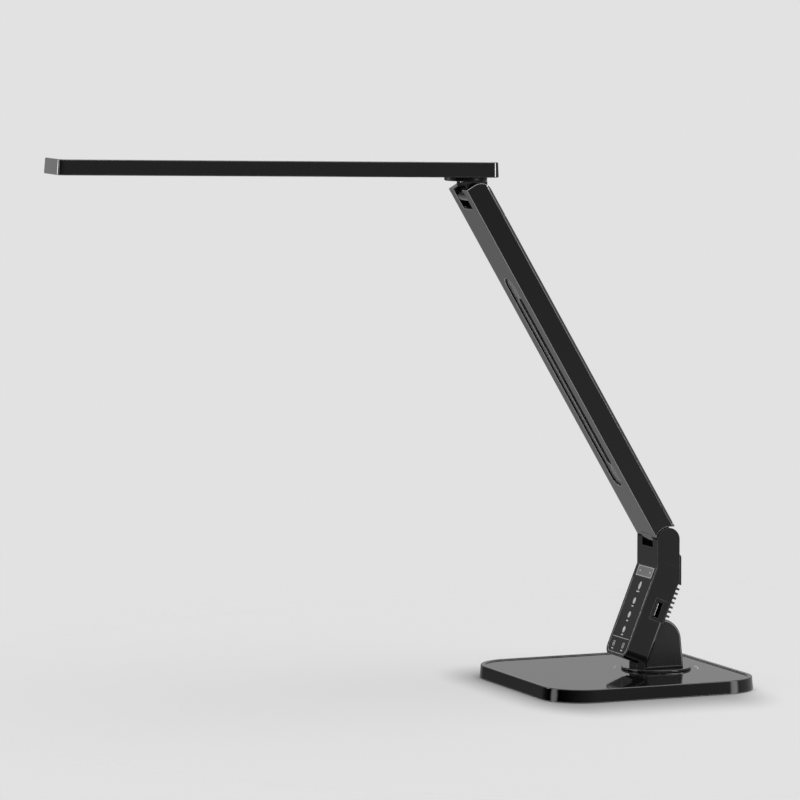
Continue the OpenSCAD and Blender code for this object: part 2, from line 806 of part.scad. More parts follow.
module usb_tongue() {
  x1 = col_w / 2 - plate_in - 0.05;
  color("white") union() {
    on_slope() translate([x1 - usb_depth + usb_wall + 0.02, usb_y - usb_h / 2 + 0.5, -usb_s - usb_w / 2 + 0.9])
      cube([usb_depth - usb_wall - 1, 1.9, usb_w - 1.8]);
    usb_bar(usb_w - 0.1, usb_h - 0.1, x1 - usb_depth + usb_wall + 0.02, x1 - usb_depth + usb_wall + 1);
  }
}

module usb_bezel() {
  color("#141416") difference() {
    usb_plate_bar(0, col_w / 2 - plate_in + 0.02, col_w / 2);
    usb_bar(usb_w, usb_h, 10, 30);
  }
}

// Side profile of the tilt bracket's web, from the eye to its plate
module bracket_web() {
  polygon([[tilt_y_abs - 3, tilt_z - 7.7], slope_point(bracket_y + 0.6, 53.4),
           slope_point(bracket_y + bracket_t - 0.6, 40), [tilt_y_abs + 4, tilt_z + 7.2]]);
}

// A place on the column's slope, as Y and Z, from its depth and its distance below the bend
function slope_point(y, s) = [front_y + y * cos(col_lean) - s * sin(col_lean),
                              bend_z - y * sin(col_lean) - s * cos(col_lean)];

module tilt_bracket() {
  color("#9a9aa0") difference() {
    union() {
      translate([0, tilt_y_abs, tilt_z]) x_bar(bracket_eye_r, bracket_w);
      across(bracket_w - 2) bracket_web();
      slope_block(bracket_y, bracket_y + bracket_t)
        translate([-bracket_w / 2, 29]) square([bracket_w, 25]);
    }
    translate([0, tilt_y_abs, tilt_z]) x_bar(tilt_pin_r + run_fit, 40);
    on_slope() for (s = bracket_bolts) translate([0, 0, -s]) rotate([-90, 0, 0])
      cylinder(r = screw_r + screw_gap, h = 30);
    on_slope() for (s = bracket_bolts) translate([0, bracket_y + bracket_t - 0.02, -s]) rotate([-90, 0, 0])
      cylinder(r = screw_head_r + 0.4, h = 30);
  }
}

module bracket_screws() {
  color("silver") on_slope() for (s = bracket_bolts)
    translate([0, bracket_y + bracket_t, -s]) rotate([-90, 0, 0]) screw_down(6.5);
}

module arm_pin() {
  color("silver") translate([0, pin_abs_y, pin_abs_z]) x_bar(arm_pin_r, col_w - 6.2);
}

module ear_washers() {
  color("ivory") translate([0, pin_abs_y, pin_abs_z]) for (s = [-1, 1])
    mirror([s < 0 ? 1 : 0, 0, 0])
      x_ring(7, arm_pin_r + 0.05, ear_gap / 2 - ear_washer_t - 0.05, ear_gap / 2 - 0.05);
}

// ---- upper arm ----------------------------------------------------------

// Side profile of the arm's casing, round at the crown's rear
module arm_profile() {
  polygon([[arm_front, 0], [4, 0], [5.4, 8.9], [arm_rear, heel_z], [arm_rear, crown_z - crown_r],
           [arm_rear - crown_r, crown_z], [arm_front, crown_z]]);
  translate([arm_rear - crown_r, crown_z - crown_r]) intersection() {
    circle(crown_r);
    square([far, far]);
  }
}

// A slab across X of a side profile that runs from x0 to x1
module across_from(x0, x1) {
  translate([x0, 0, 0]) rotate([90, 0, 90]) linear_extrude(x1 - x0) children();
}

// A stadium along the recess, from `proud` in front of the arm's face to depth y
module front_stadium(w, l, y, proud = 1) {
  translate([0, arm_front - proud, recess_mid]) rotate([-90, 0, 0]) linear_extrude(y + proud)
    stadium(w, l);
}

module arm_casing() {
  color("#1c1c1e") on_arm() difference() {
    union() {
      difference() {
        intersection() {
          across(arm_w + 2) arm_profile();
          translate([0, arm_rear - arm_t, -20]) linear_extrude(arm_len + 60)
            round_rect(arm_w, 2 * arm_t, arm_edge);
        }
        // hollow, open at the rear
        translate([-arm_w / 2 + arm_wall, arm_front + arm_wall, cover_step_z])
          cube([arm_w - 2 * arm_wall, arm_t, cheek_z - cover_step_z]);
        // rear edges make room for the back cover
        translate([-arm_w, arm_rear - back_t - 0.03, cover_step_z])
          cube([2 * arm_w, 10, cheek_z - cover_step_z]);
      }
      // trough of the long recess
      front_stadium(recess_w + 2 * arm_wall, recess_len + 2 * arm_wall, recess_drop + 1.6,
                    proud = -0.5);
    }
    across(arm_w + 2) circle(ear_clear_r);
    front_stadium(recess_w, recess_len, recess_drop);
    front_stadium(slot_w, slot_len, 12);
    // gap between the cheeks
    translate([-cheek_gap / 2, arm_front - 2, notch_z]) cube([cheek_gap, 40, 60]);
    translate([-cheek_gap / 2, arm_front + arm_wall, cheek_z - 1]) cube([cheek_gap, 40, 60]);
    translate([0, head_pin_y, arm_len]) x_bar(head_pin_r + 0.02, arm_w - 5);
    // room for the tongue
    translate([-tongue_w / 2 - 0.15, arm_front - 1, -5]) cube([tongue_w + 0.3, arm_t + 3, 14.3]);
  }
}

module arm_back_cover() {
  color("#1c1c1e") on_arm() difference() {
    union() {
      intersection() {
        translate([0, arm_rear, 0]) linear_extrude(cheek_z - 0.2) intersection() {
          translate([0, -arm_edge - 6]) round_rect(arm_w, 2 * arm_edge + 12, arm_edge);
          translate([0, -back_t / 2]) square([arm_w, back_t], center = true);
        }
        translate([-arm_w, 0, cover_step_z + 0.2]) cube([2 * arm_w, 40, cheek_z]);
      }
      // ribs that locate the cover inside the casing
      for (x = [-1, 1]) translate([x * (arm_w / 2 - arm_wall - 1.1) - 0.8, arm_rear - back_t - 1.6, 50])
        cube([1.6, 1.7, cheek_z - 60]);
    }
    for (z = tongue_bolts) translate([0, arm_rear + 1, z]) rotate([90, 0, 0]) {
      cylinder(r = screw_r + screw_gap, h = 12);
      cylinder(r = screw_head_r + screw_gap, h = 2.3);
    }
  }
}

module arm_tongue() {
  depth = arm_t - arm_wall - back_t - 0.1;
  color("#8e8e94") on_arm() difference() {
    union() {
      x_bar(tongue_eye_r, tongue_w);
      translate([-tongue_w / 2, arm_front, 0]) cube([tongue_w, tongue_eye_r + 7.6, 9.15]);
      translate([-tongue_w / 2, arm_front + arm_wall + 0.05, 5]) cube([tongue_w, depth, tongue_top - 5]);
      translate([-arm_w / 2 + arm_wall + 0.1, arm_front + arm_wall + 0.05, 14])
        cube([arm_w - 2 * arm_wall - 0.2, depth, 8]);
    }
    x_bar(arm_pin_r + run_fit, 60);
    for (z = tongue_bolts) translate([0, arm_rear + 1, z]) rotate([90, 0, 0])
      cylinder(r = screw_r + thread_fit, h = 14);
    // channel for the cable
    translate([-cable_w / 2 - 0.4, arm_front + arm_wall, 8.9]) cube([cable_w + 0.8, 2.5, 60]);
  }
}

module tongue_screws() {
  color("silver") on_arm() for (z = tongue_bolts)
    translate([0, arm_rear - 1.25, z]) rotate([-90, 0, 0]) screw_down(8);
}

module slot_liner() {
  lip = 2;
  color("#0c0c0d") on_arm() difference() {
    translate([0, arm_front + recess_drop + 1.65, recess_mid]) rotate([-90, 0, 0])
      linear_extrude(4) stadium(slot_w + 2 * lip, slot_len + 2 * lip);
    translate([0, arm_front, recess_mid]) rotate([-90, 0, 0])
      linear_extrude(recess_drop + 4.4) stadium(slot_w, slot_len);
  }
}

module arm_cable() {
  cable_y = arm_rear - back_t - 1.9;
  color("#222224") on_arm() union() {
    translate([-cable_w / 2, cable_y, 52]) cube([cable_w, 1.6, cheek_z - 60]);
    for (x = [-1, 1]) translate([x * 2, cable_y + 0.8, 50]) cylinder(r = 0.6, h = cheek_z - 56);
  }
}

module head_pin() {
  color("silver") on_head() x_bar(head_pin_r, arm_w - 5.2);
}

module fork_washers() {
  color("silver") on_head() for (s = [0, 1]) mirror([s, 0, 0])
    x_ring(4.6, head_pin_r + 0.04, knuckle_w / 2 + 0.1, cheek_gap / 2 - 0.1);
}

// ---- head ---------------------------------------------------------------

// Places children at the screws that hold the head together
module at_head_bolts() {
  for (x = [-1, 1], y = [light_y - light_len / 2 - head_bolt_out, light_y + light_len / 2 + head_bolt_out])
    translate([x * (pocket_w / 2 - 5), y, 0]) children();
}

module knuckle() {
  color("#161618") on_head() difference() {
    union() {
      x_bar(lug_r, knuckle_w);
      across(knuckle_w) polygon([[-6.6, disc_z], [-6.6, disc_z - 3.4], [-3.4, 4.3], [0, 0], [4.6, 2.8],
                                 [12, disc_z - 3.6], [12, disc_z]]);
      translate([0, swivel_y, disc_z - 1]) cylinder(r = knuckle_stud_r, h = head_t - 1.5);
    }
    x_bar(head_pin_r + run_fit, 60);
    translate([0, swivel_y, disc_z - 2]) cylinder(r = knuckle_bore_r, h = 40);
  }
}

module swivel_disc() {
  color("#161618") on_head() translate([0, swivel_y, 0]) difference() {
    translate([0, 0, disc_z + 0.02]) rotate_extrude() polygon([[0, 0], [disc_r - 0.5, 0], [disc_r, 0.5],
      [disc_r, disc_t - disc_gap - 0.3], [disc_r - 0.3, disc_t - disc_gap - 0.02], [0, disc_t - disc_gap - 0.02]]);
    cylinder(r = knuckle_stud_r + 0.02, h = 60);
  }
}

module knuckle_washer() {
  color("silver") on_head() translate([0, swivel_y, under_z + frame_floor + boss_t + 0.1]) difference() {
    cylinder(r = knuckle_stud_r + 4, h = knuckle_washer_t);
    translate([0, 0, -1]) cylinder(r = knuckle_stud_r + 0.05, h = 5);
  }
}

module knuckle_nut() {
  color("silver") on_head()
    translate([0, swivel_y, under_z + frame_floor + boss_t + knuckle_washer_t + 0.15]) difference() {
      cylinder(r = knuckle_stud_r + 3.6, h = knuckle_nut_t, $fn = 6);
      translate([0, 0, -1]) cylinder(r = knuckle_stud_r + 0.02, h = 5, $fn = 64);
    }
}

// Half section of the head's outside, drawn outwards from a corner's centre
module head_section(reach) {
  edge = 0.5;
  polygon([[-reach, 0], [head_r - edge, 0], [head_r, edge],
           [head_r - head_lean + head_lean * edge / head_t, head_t - edge],
           [head_r - head_lean - edge, head_t], [-reach, head_t]]);
}

module head_frame() {
  color("#18181a") on_head() difference() {
    union() {
      difference() {
        translate([0, head_mid_y, under_z]) sweep_rect(head_w, head_len, head_r)
          head_section(min(head_w, head_len) / 2 - head_r);
        translate([0, head_mid_y, under_z + frame_floor])
          round_plate(pocket_w, head_len - 2 * head_wall - head_lean, head_r - head_wall, 40);
      }
      translate([0, swivel_y, under_z + 1]) cylinder(r = knuckle_stud_r + 4, h = frame_floor + boss_t - 1);
      at_head_bolts() translate([0, 0, under_z + 1]) cylinder(r = screw_r + 2, h = heat_z - under_z - 1.02);
    }
    translate([0, swivel_y, under_z - 1]) cylinder(r = knuckle_stud_r + run_fit, h = 10);
    translate([-light_w / 2, light_y - light_len / 2, under_z - 1]) cube([light_w, light_len, 10]);
    at_head_bolts() translate([0, 0, under_z - 1]) cylinder(r = screw_r + screw_gap, h = 20);
    at_head_bolts() translate([0, 0, under_z - 1]) cylinder(r = screw_head_r + screw_gap, h = 2.3);
  }
}

module head_cover() {
  inner_top = head_top_z - cover_plate_t;
  color("#18181a") on_head() difference() {
    union() {
      translate([0, head_mid_y, inner_top])
        round_plate(pocket_w - 0.2, head_len - 2 * head_wall - head_lean - 0.2, head_r - head_wall, cover_plate_t);
      at_head_bolts() translate([0, 0, heat_z + heat_t + 0.05])
        cylinder(r = screw_r + 1.8, h = inner_top - heat_z - heat_t);
    }
    at_head_bolts() translate([0, 0, heat_z - 1]) cylinder(r = screw_r + thread_fit, h = inner_top - heat_z);
  }
}

module heat_plate() {
  front = light_y - light_len / 2 - heat_out;
  back = light_y + light_len / 2 + heat_out;
  color("#b9babd") on_head() difference() {
    translate([-pocket_w / 2 + 0.9, front, heat_z]) cube([pocket_w - 1.8, back - front, heat_t]);
    at_head_bolts() cylinder(r = screw_r + 0.25, h = 60);
  }
}

module led_strips() {
  color("#e8e8e4") on_head() for (x = [0, 1]) mirror([x, 0, 0])
    translate([guide_w / 2 + chip_t + 0.1, light_y - light_len / 2, guide_z - 0.3])
      cube([strip_t, light_len, heat_z - guide_z + 0.28]);
}

module led_chips() {
  pitch = light_len / led_count;
  color("#f4e27a") on_head() for (x = [0, 1], i = [0:led_count - 1]) mirror([x, 0, 0])
    translate([guide_w / 2 + 0.08, light_y - light_len / 2 + (i + 0.5) * pitch - 1.75, guide_z + 0.3])
      cube([chip_t, 3.5, 1.4]);
}

module light_guide() {
  color("white") on_head() translate([-guide_w / 2, light_y - light_len / 2 + 0.5, guide_z])
    cube([guide_w, light_len - 1, guide_t]);
}

module reflector() {
  color("white") on_head() translate([-guide_w / 2, light_y - light_len / 2 + 0.5, guide_z + guide_t + 0.05])
    cube([guide_w, light_len - 1, reflector_t]);
}

module diffuser() {
  flange = 0.9;
  color("#f2f2ee") on_head() union() {
    translate([-light_w / 2 + 0.15, light_y - light_len / 2 + 0.15, under_z + 0.4])
      cube([light_w - 0.3, light_len - 0.3, frame_floor - 0.35]);
    translate([-light_w / 2 - flange, light_y - light_len / 2 - flange, under_z + frame_floor + 0.02])
      cube([light_w + 2 * flange, light_len + 2 * flange, diffuser_t - 0.45]);
  }
}

module head_screws() {
  color("silver") on_head() at_head_bolts() translate([0, 0, under_z + 1.3])
    rotate([180, 0, 0]) screw_down(7.5);
}

base_cover();
base_weight();
base_plate();
rubber_feet();
base_screws();
inlet_housing();
inlet_pin();
swivel_bush();
turntable();
swivel_washer();
swivel_nut();
neck_left();
neck_right();
neck_screws();
tilt_pin();
column_casing();
column_back_cover();
ribbed_cover();
touch_panel();
display_window();
control_board();
usb_shell();
usb_tongue();
usb_bezel();
tilt_bracket();
bracket_screws();
column_screws();
arm_pin();
ear_washers();
arm_casing();
arm_back_cover();
arm_tongue();
tongue_screws();
slot_liner();
arm_cable();
head_pin();
fork_washers();
knuckle();
swivel_disc();
knuckle_washer();
knuckle_nut();
head_frame();
head_cover();
heat_plate();
led_strips();
led_chips();
light_guide();
reflector();
diffuser();
head_screws();
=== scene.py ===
"""Looks of the folding LED desk lamp: gloss black shells, printed touch panel and plain studio.

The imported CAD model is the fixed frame. Shells that catch the light are rebuilt with soft
edges and stand for their CAD nodes; every other node keeps its shape and takes a finish.
"""

import functools
import json
import logging
import math
from dataclasses import dataclass, field
from enum import Enum

import bmesh
import bpy
from mathutils import Matrix, Vector

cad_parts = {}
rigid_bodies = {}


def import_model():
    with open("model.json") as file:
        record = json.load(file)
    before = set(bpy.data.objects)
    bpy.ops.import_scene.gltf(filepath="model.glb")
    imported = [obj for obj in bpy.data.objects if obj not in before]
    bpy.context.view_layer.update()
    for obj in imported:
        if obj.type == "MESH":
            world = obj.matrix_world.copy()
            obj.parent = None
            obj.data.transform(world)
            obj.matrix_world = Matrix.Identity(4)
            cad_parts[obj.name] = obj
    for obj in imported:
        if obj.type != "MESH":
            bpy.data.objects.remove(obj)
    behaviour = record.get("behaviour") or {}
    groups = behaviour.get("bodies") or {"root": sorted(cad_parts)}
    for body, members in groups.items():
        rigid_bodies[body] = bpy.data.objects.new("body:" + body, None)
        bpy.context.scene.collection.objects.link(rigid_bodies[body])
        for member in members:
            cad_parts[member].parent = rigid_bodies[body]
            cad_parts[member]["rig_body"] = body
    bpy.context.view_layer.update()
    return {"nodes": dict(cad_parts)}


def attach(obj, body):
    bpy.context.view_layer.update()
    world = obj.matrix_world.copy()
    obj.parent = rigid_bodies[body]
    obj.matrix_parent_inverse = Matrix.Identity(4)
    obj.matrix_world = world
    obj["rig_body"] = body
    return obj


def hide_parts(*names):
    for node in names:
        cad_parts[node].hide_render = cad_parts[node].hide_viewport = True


LOG = logging.getLogger("desk_lamp")
MM = 0.001

Tree = bpy.types.NodeTree
Node = bpy.types.Node
Socket = bpy.types.NodeSocket
Point = tuple[float, float]
Point3 = tuple[float, float, float]
Outline = list[Point]
Colour = tuple[float, float, float, float]

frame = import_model()


# ---- node calls -----------------------------------------------------------


def add_node(tree: Tree, kind: str, **settings: object) -> Node:
    """Adds a node to a tree and sets its properties.

    Args:
        tree: The node tree.
        kind: The node's type name.
        **settings: Property values.

    Returns:
        The new node.
    """
    node = tree.nodes.new(kind)
    for name, value in settings.items():
        setattr(node, name, value)
    return node


def combined(tree: Tree, operation: str, one: Socket, two: Socket, clamp: bool = False) -> Socket:
    """Joins two numbers by a Math node.

    Args:
        tree: The node tree.
        operation: The node's operation.
        one: First number.
        two: Second number.
        clamp: Whether the result is held between 0 and 1.

    Returns:
        The result's socket.
    """
    step = add_node(tree, "ShaderNodeMath", operation=operation, use_clamp=clamp)
    tree.links.new(one, step.inputs[0])
    tree.links.new(two, step.inputs[1])
    return step.outputs[0]


def vector_step(tree: Tree, operation: str, source: Socket, fixed: Point3 | None = None) -> Node:
    """Adds a Vector Math node.

    Args:
        tree: The node tree.
        operation: The node's operation.
        source: The vector it takes.
        fixed: Its second vector, where it has one.

    Returns:
        The new node.
    """
    step = add_node(tree, "ShaderNodeVectorMath", operation=operation)
    tree.links.new(source, step.inputs[0])
    if fixed is not None:
        step.inputs[1].default_value = fixed
    return step


def ranged(tree: Tree, source: Socket, span: Point, levels: Point = (0.0, 1.0),
           kind: str = "LINEAR") -> Socket:
    """Runs a number over a span to a level, held at the span's ends.

    Args:
        tree: The node tree.
        source: The number.
        span: The values that give the first and the second level.
        levels: The two levels.
        kind: The node's kind of interpolation.

    Returns:
        The level's socket.
    """
    node = add_node(tree, "ShaderNodeMapRange", interpolation_type=kind, clamp=True)
    for name, value in zip(("From Min", "From Max", "To Min", "To Max"), (*span, *levels)):
        node.inputs[name].default_value = value
    tree.links.new(source, node.inputs["Value"])
    return node.outputs["Result"]


def mixed(tree: Tree, share: Socket, one: Socket, two: Socket) -> Socket:
    """Mixes two shaders.

    Args:
        tree: The node tree.
        share: The second shader's share.
        one: First shader.
        two: Second shader.

    Returns:
        The mixed shader's socket.
    """
    mix = add_node(tree, "ShaderNodeMixShader")
    for source, target in zip((share, one, two), mix.inputs):
        tree.links.new(source, target)
    return mix.outputs["Shader"]


# ---- shared shader groups -------------------------------------------------


# How well a rounded normal agrees with the face's own where there is no edge, and on a sharp one.
EDGE_AGREEMENT: Point = (0.995, 0.86)
# Noise levels at which the edge colour (wear, and on the black plastics a painted edge highlight) and the
# film begin and are full.
WORN_AND_LIT_PATCHES: Point = (0.1, 0.6)
FILM_PATCHES: Point = (0.38, 0.72)
# Stretch that draws noise out into lines.
DRAWN_STRETCH: Point3 = (0.04, 1.0, 1.0)


class GroupBuilder:
    """A shader node group in the making, with its numbers in and out."""

    def __init__(self, name: str) -> None:
        """Starts an empty group.

        Args:
            name: The group's name.
        """
        self.tree = bpy.data.node_groups.new(name, "ShaderNodeTree")
        self.entry = self.tree.nodes.new("NodeGroupInput")
        self.exit = self.tree.nodes.new("NodeGroupOutput")

    def value_in(self, name: str, default: float) -> Socket:
        """Adds a number input.

        Args:
            name: The socket's name.
            default: Its value where nothing is linked.

        Returns:
            The socket inside the group.
        """
        socket = self.tree.interface.new_socket(name=name, in_out="INPUT", socket_type="NodeSocketFloat")
        socket.default_value = default
        return self.entry.outputs[name]

    def value_out(self, name: str, source: Socket) -> None:
        """Adds a number output fed by source.

        Args:
            name: The socket's name.
            source: What feeds it.
        """
        self.tree.interface.new_socket(name=name, in_out="OUTPUT", socket_type="NodeSocketFloat")
        self.tree.links.new(source, self.exit.inputs[name])


def object_noise(tree: Tree, scale: Socket, detail: float, stretch: Point3 = (1, 1, 1)) -> Socket:
    """Noise that is fixed to the object.

    Args:
        tree: The node tree.
        scale: Socket that gives the noise's scale.
        detail: Number of octaves.
        stretch: Scale along each axis.

    Returns:
        The noise's factor socket.
    """
    place = add_node(tree, "ShaderNodeTexCoord")
    spread = add_node(tree, "ShaderNodeMapping")
    spread.inputs["Scale"].default_value = stretch
    noise = add_node(tree, "ShaderNodeTexNoise")
    noise.inputs["Detail"].default_value = detail
    tree.links.new(place.outputs["Object"], spread.inputs["Vector"])
    tree.links.new(spread.outputs["Vector"], noise.inputs["Vector"])
    tree.links.new(scale, noise.inputs["Scale"])
    return noise.outputs["Fac"]


def make_edge_wear_and_highlight() -> Tree:
    """Group that finds edges and breaks them up in patches: edge wear, and on the black plastics a painted
    edge highlight.

    Returns:
        The group, with inputs Radius, Amount and Breakup Scale and output Mask.
    """
    build = GroupBuilder("edge_wear")
    tree = build.tree
    radius = build.value_in("Radius", 0.0006)
    amount = build.value_in("Amount", 0.5)
    breakup = build.value_in("Breakup Scale", 180.0)
    rounded = add_node(tree, "ShaderNodeBevel", samples=4)
    tree.links.new(radius, rounded.inputs["Radius"])
    surface = add_node(tree, "ShaderNodeNewGeometry")
    agree = vector_step(tree, "DOT_PRODUCT", rounded.outputs["Normal"])
    tree.links.new(surface.outputs["Normal"], agree.inputs[1])
    edge = ranged(tree, agree.outputs["Value"], EDGE_AGREEMENT)
    patchy = ranged(tree, object_noise(tree, breakup, 3.0), WORN_AND_LIT_PATCHES)
    build.value_out("Mask", combined(tree, "MULTIPLY", combined(tree, "MULTIPLY", edge, patchy), amount))
    return tree


def make_handling_film() -> Tree:
    """Group for the faint film of dust and handling that varies a gloss.

    Returns:
        The group, with inputs Scale and Amount and output Mask.
    """
    build = GroupBuilder("handling_film")
    scale = build.value_in("Scale", 22.0)
    amount = build.value_in("Amount", 1.0)
    broad = ranged(build.tree, object_noise(build.tree, scale, 4.0), FILM_PATCHES)
    build.value_out("Mask", combined(build.tree, "MULTIPLY", broad, amount))
    return build.tree


def make_moulded_skin() -> Tree:
    """Group for the slight unevenness of a moulded surface and its fine spark texture.

    Returns:
        The group, with inputs Wave Scale, Grain Scale and Grain and output Height.
    """
    build = GroupBuilder("moulded_skin")
    wave_scale = build.value_in("Wave Scale", 14.0)
    grain_scale = build.value_in("Grain Scale", 2600.0)
    grain = build.value_in("Grain", 0.3)
    wave = object_noise(build.tree, wave_scale, 1.0)
    spark = combined(build.tree, "MULTIPLY", object_noise(build.tree, grain_scale, 2.0), grain)
    build.value_out("Height", combined(build.tree, "ADD", wave, spark))
    return build.tree


def make_drawn_metal() -> Tree:
    """Group for the fine lines that turning or drawing leaves on metal.

    Returns:
        The group, with inputs Scale and Depth and output Height.
    """
    build = GroupBuilder("drawn_metal")
    scale = build.value_in("Scale", 900.0)
    depth = build.value_in("Depth", 1.0)
    lines = object_noise(build.tree, scale, 2.0, DRAWN_STRETCH)
    build.value_out("Height", combined(build.tree, "MULTIPLY", lines, depth))
    return build.tree


class Shared(Enum):
    """Shader groups that several finishes use."""

    EDGE_WEAR = "edge_wear"
    HANDLING_FILM = "handling_film"
    MOULDED_SKIN = "moulded_skin"
    DRAWN_METAL = "drawn_metal"


MAKERS = {
    Shared.EDGE_WEAR: make_edge_wear_and_highlight,
    Shared.HANDLING_FILM: make_handling_film,
    Shared.MOULDED_SKIN: make_moulded_skin,
    Shared.DRAWN_METAL: make_drawn_metal,
}


def shared_group(which: Shared) -> Tree:
    """Gives a shared shader group, made once.

    Args:
        which: The group.

    Returns:
        Its node tree.
    """
    return bpy.data.node_groups.get(which.value) or MAKERS[which]()


# ---- finishes -------------------------------------------------------------


class MaterialBuilder:
    """A material with one Principled shader, and short calls to dress it."""

    def __init__(self, name: str) -> None:
        """Starts a material.

        Args:
            name: The material's name.
        """
        self.material = bpy.data.materials.new(f"{name}_finish")
        self.material.use_nodes = True
        self.tree = self.material.node_tree
        self.shader = self.tree.nodes["Principled BSDF"]

    def set(self, **values: float) -> None:
        """Sets plain values on the shader, with underscores for the spaces in socket names.

        Args:
            **values: Socket values.
        """
        for name, value in values.items():
            self.shader.inputs[name.replace("_", " ")].default_value = value

    def effect(self, which: Shared, **values: float) -> Node:
        """Places a shared group.

        Args:
            which: The group.
            **values: Input values, with underscores for spaces.

        Returns:
            The group node.
        """
        node = add_node(self.tree, "ShaderNodeGroup", node_tree=shared_group(which))
        for name, value in values.items():
            node.inputs[name.replace("_", " ")].default_value = value
        return node

    def blend_colour(self, mask: Socket, one: Colour, two: Colour) -> None:
        """Mixes the base colour between two by a mask.

        Args:
            mask: 0 for the first colour and 1 for the second.
            one: First colour.
            two: Second colour.
        """
        mix = add_node(self.tree, "ShaderNodeMix", data_type="RGBA")
        mix.inputs["A"].default_value = one
        mix.inputs["B"].default_value = two
        self.tree.links.new(mask, mix.inputs["Factor"])
        self.tree.links.new(mix.outputs["Result"], self.shader.inputs["Base Color"])

    def blend_value(self, mask: Socket, socket: str, levels: Point) -> None:
        """Runs a shader value between two by a mask.

        Args:
            mask: 0 for the first value and 1 for the second.
            socket: The shader's socket.
            levels: The two values.
        """
        self.tree.links.new(ranged(self.tree, mask, (0.0, 1.0), levels), self.shader.inputs[socket])

    def relief(self, height: Socket, distance: float) -> None:
        """Feeds a height to the shader's normal.

        Args:
            height: The height's socket.
            distance: Height of the relief, in metres.
        """
        bump = add_node(self.tree, "ShaderNodeBump")
        bump.inputs["Distance"].default_value = distance
        bump.inputs["Strength"].default_value = 1.0
        self.tree.links.new(height, bump.inputs["Height"])
        self.tree.links.new(bump.outputs["Normal"], self.shader.inputs["Normal"])


def grey(level: float) -> Colour:
    """A neutral colour.

    Args:
        level: Linear brightness.

    Returns:
        The colour with full alpha.
    """
    return (level, level, level, 1.0)


def scaled(colour: Colour, share: float) -> Colour:
    """A colour made brighter or darker.

    Args:
        colour: The colour with its alpha.
        share: The factor, which stops at white.

    Returns:
        The colour with full alpha.
    """
    return (*(min(1.0, share * c) for c in colour[:3]), 1.0)


@dataclass(frozen=True)
class Plastic:
    """A moulded plastic, from piano gloss to satin."""

    name: str
    colour: Colour
    roughness: float
    film_roughness: float
    # Colour along the edges: wear on most plastics, and on the black plastics a painted edge highlight.
    worn_and_lit_edge: Colour
    wear: float = 0.35
    edge_radius: float = 0.0004
    grain: float = 0.0
    grain_scale: float = 2600.0
    wave_scale: float = 9.0
    relief: float = 0.00002
    ior: float = 1.5
    film_scale: float = 26.0

    def make(self) -> bpy.types.Material:
        """Builds the material: film over the gloss, a lighter colour along the edges (wear, and on the black
        plastics a painted edge highlight), and the mould's skin.
        """
        build = MaterialBuilder(self.name)
        build.set(IOR=self.ior)
        rubbed_and_lit_edges = dulled = build.effect(Shared.HANDLING_FILM, Scale=self.film_scale).outputs["Mask"]
        if self.wear:
            rubbed_and_lit_edges = build.effect(Shared.EDGE_WEAR, Radius=self.edge_radius, Amount=self.wear).outputs["Mask"]
            dulled = combined(build.tree, "ADD", dulled, rubbed_and_lit_edges, clamp=True)
        build.blend_value(dulled, "Roughness", (self.roughness, self.film_roughness))
        build.blend_colour(rubbed_and_lit_edges, self.colour, self.worn_and_lit_edge)
        skin = build.effect(Shared.MOULDED_SKIN, Wave_Scale=self.wave_scale, Grain_Scale=self.grain_scale,
                            Grain=self.grain)
        build.relief(skin.outputs["Height"], self.relief)
        return build.material


@dataclass(frozen=True)
class Metal:
    """A bare or plated metal with drawn or turned lines."""

    name: str
    colour: Colour
    roughness: float
    film_roughness: float
    line_scale: float = 900.0
    line_depth: float = 0.000015
    film_scale: float = 60.0
    wear: float = 0.7
    edge_radius: float = 0.0003
    worn_share: float = 1.25

    def make(self) -> bpy.types.Material:
        """Builds the material: fine lines, a film of handling and bright edges."""
        build = MaterialBuilder(self.name)
        build.set(Metallic=1.0)
        film = build.effect(Shared.HANDLING_FILM, Scale=self.film_scale)
        build.blend_value(film.outputs["Mask"], "Roughness", (self.roughness, self.film_roughness))
        edges = build.effect(Shared.EDGE_WEAR, Radius=self.edge_radius, Amount=self.wear)
        build.blend_colour(edges.outputs["Mask"], self.colour, scaled(self.colour, self.worn_share))
        lines = build.effect(Shared.DRAWN_METAL, Scale=self.line_scale)
        build.relief(lines.outputs["Height"], self.line_depth)
        return build.material


@dataclass(frozen=True)
class Clear:
    """A clear or milky acrylic."""

    name: str
    colour: Colour
    roughness: float
    transmission: float
    ior: float = 1.49
    film_scale: float = 40.0
    haze: float = 0.08
    wear: float = 0.3
    edge_radius: float = 0.0003
    worn_share: float = 0.92
    wave_scale: float = 30.0
    grain_scale: float = 1800.0
    grain: float = 0.5
    relief: float = 0.00002

    def make(self) -> bpy.types.Material:
        """Builds the material, with a faint haze where it is handled."""
        build = MaterialBuilder(self.name)
        build.set(Transmission_Weight=self.transmission, IOR=self.ior)
        film = build.effect(Shared.HANDLING_FILM, Scale=self.film_scale)
        build.blend_value(film.outputs["Mask"], "Roughness", (self.roughness, self.roughness + self.haze))
        edges = build.effect(Shared.EDGE_WEAR, Radius=self.edge_radius, Amount=self.wear)
        build.blend_colour(edges.outputs["Mask"], self.colour, scaled(self.colour, self.worn_share))
        skin = build.effect(Shared.MOULDED_SKIN, Wave_Scale=self.wave_scale, Grain_Scale=self.grain_scale,
                            Grain=self.grain)
        build.relief(skin.outputs["Height"], self.relief)
        return build.material
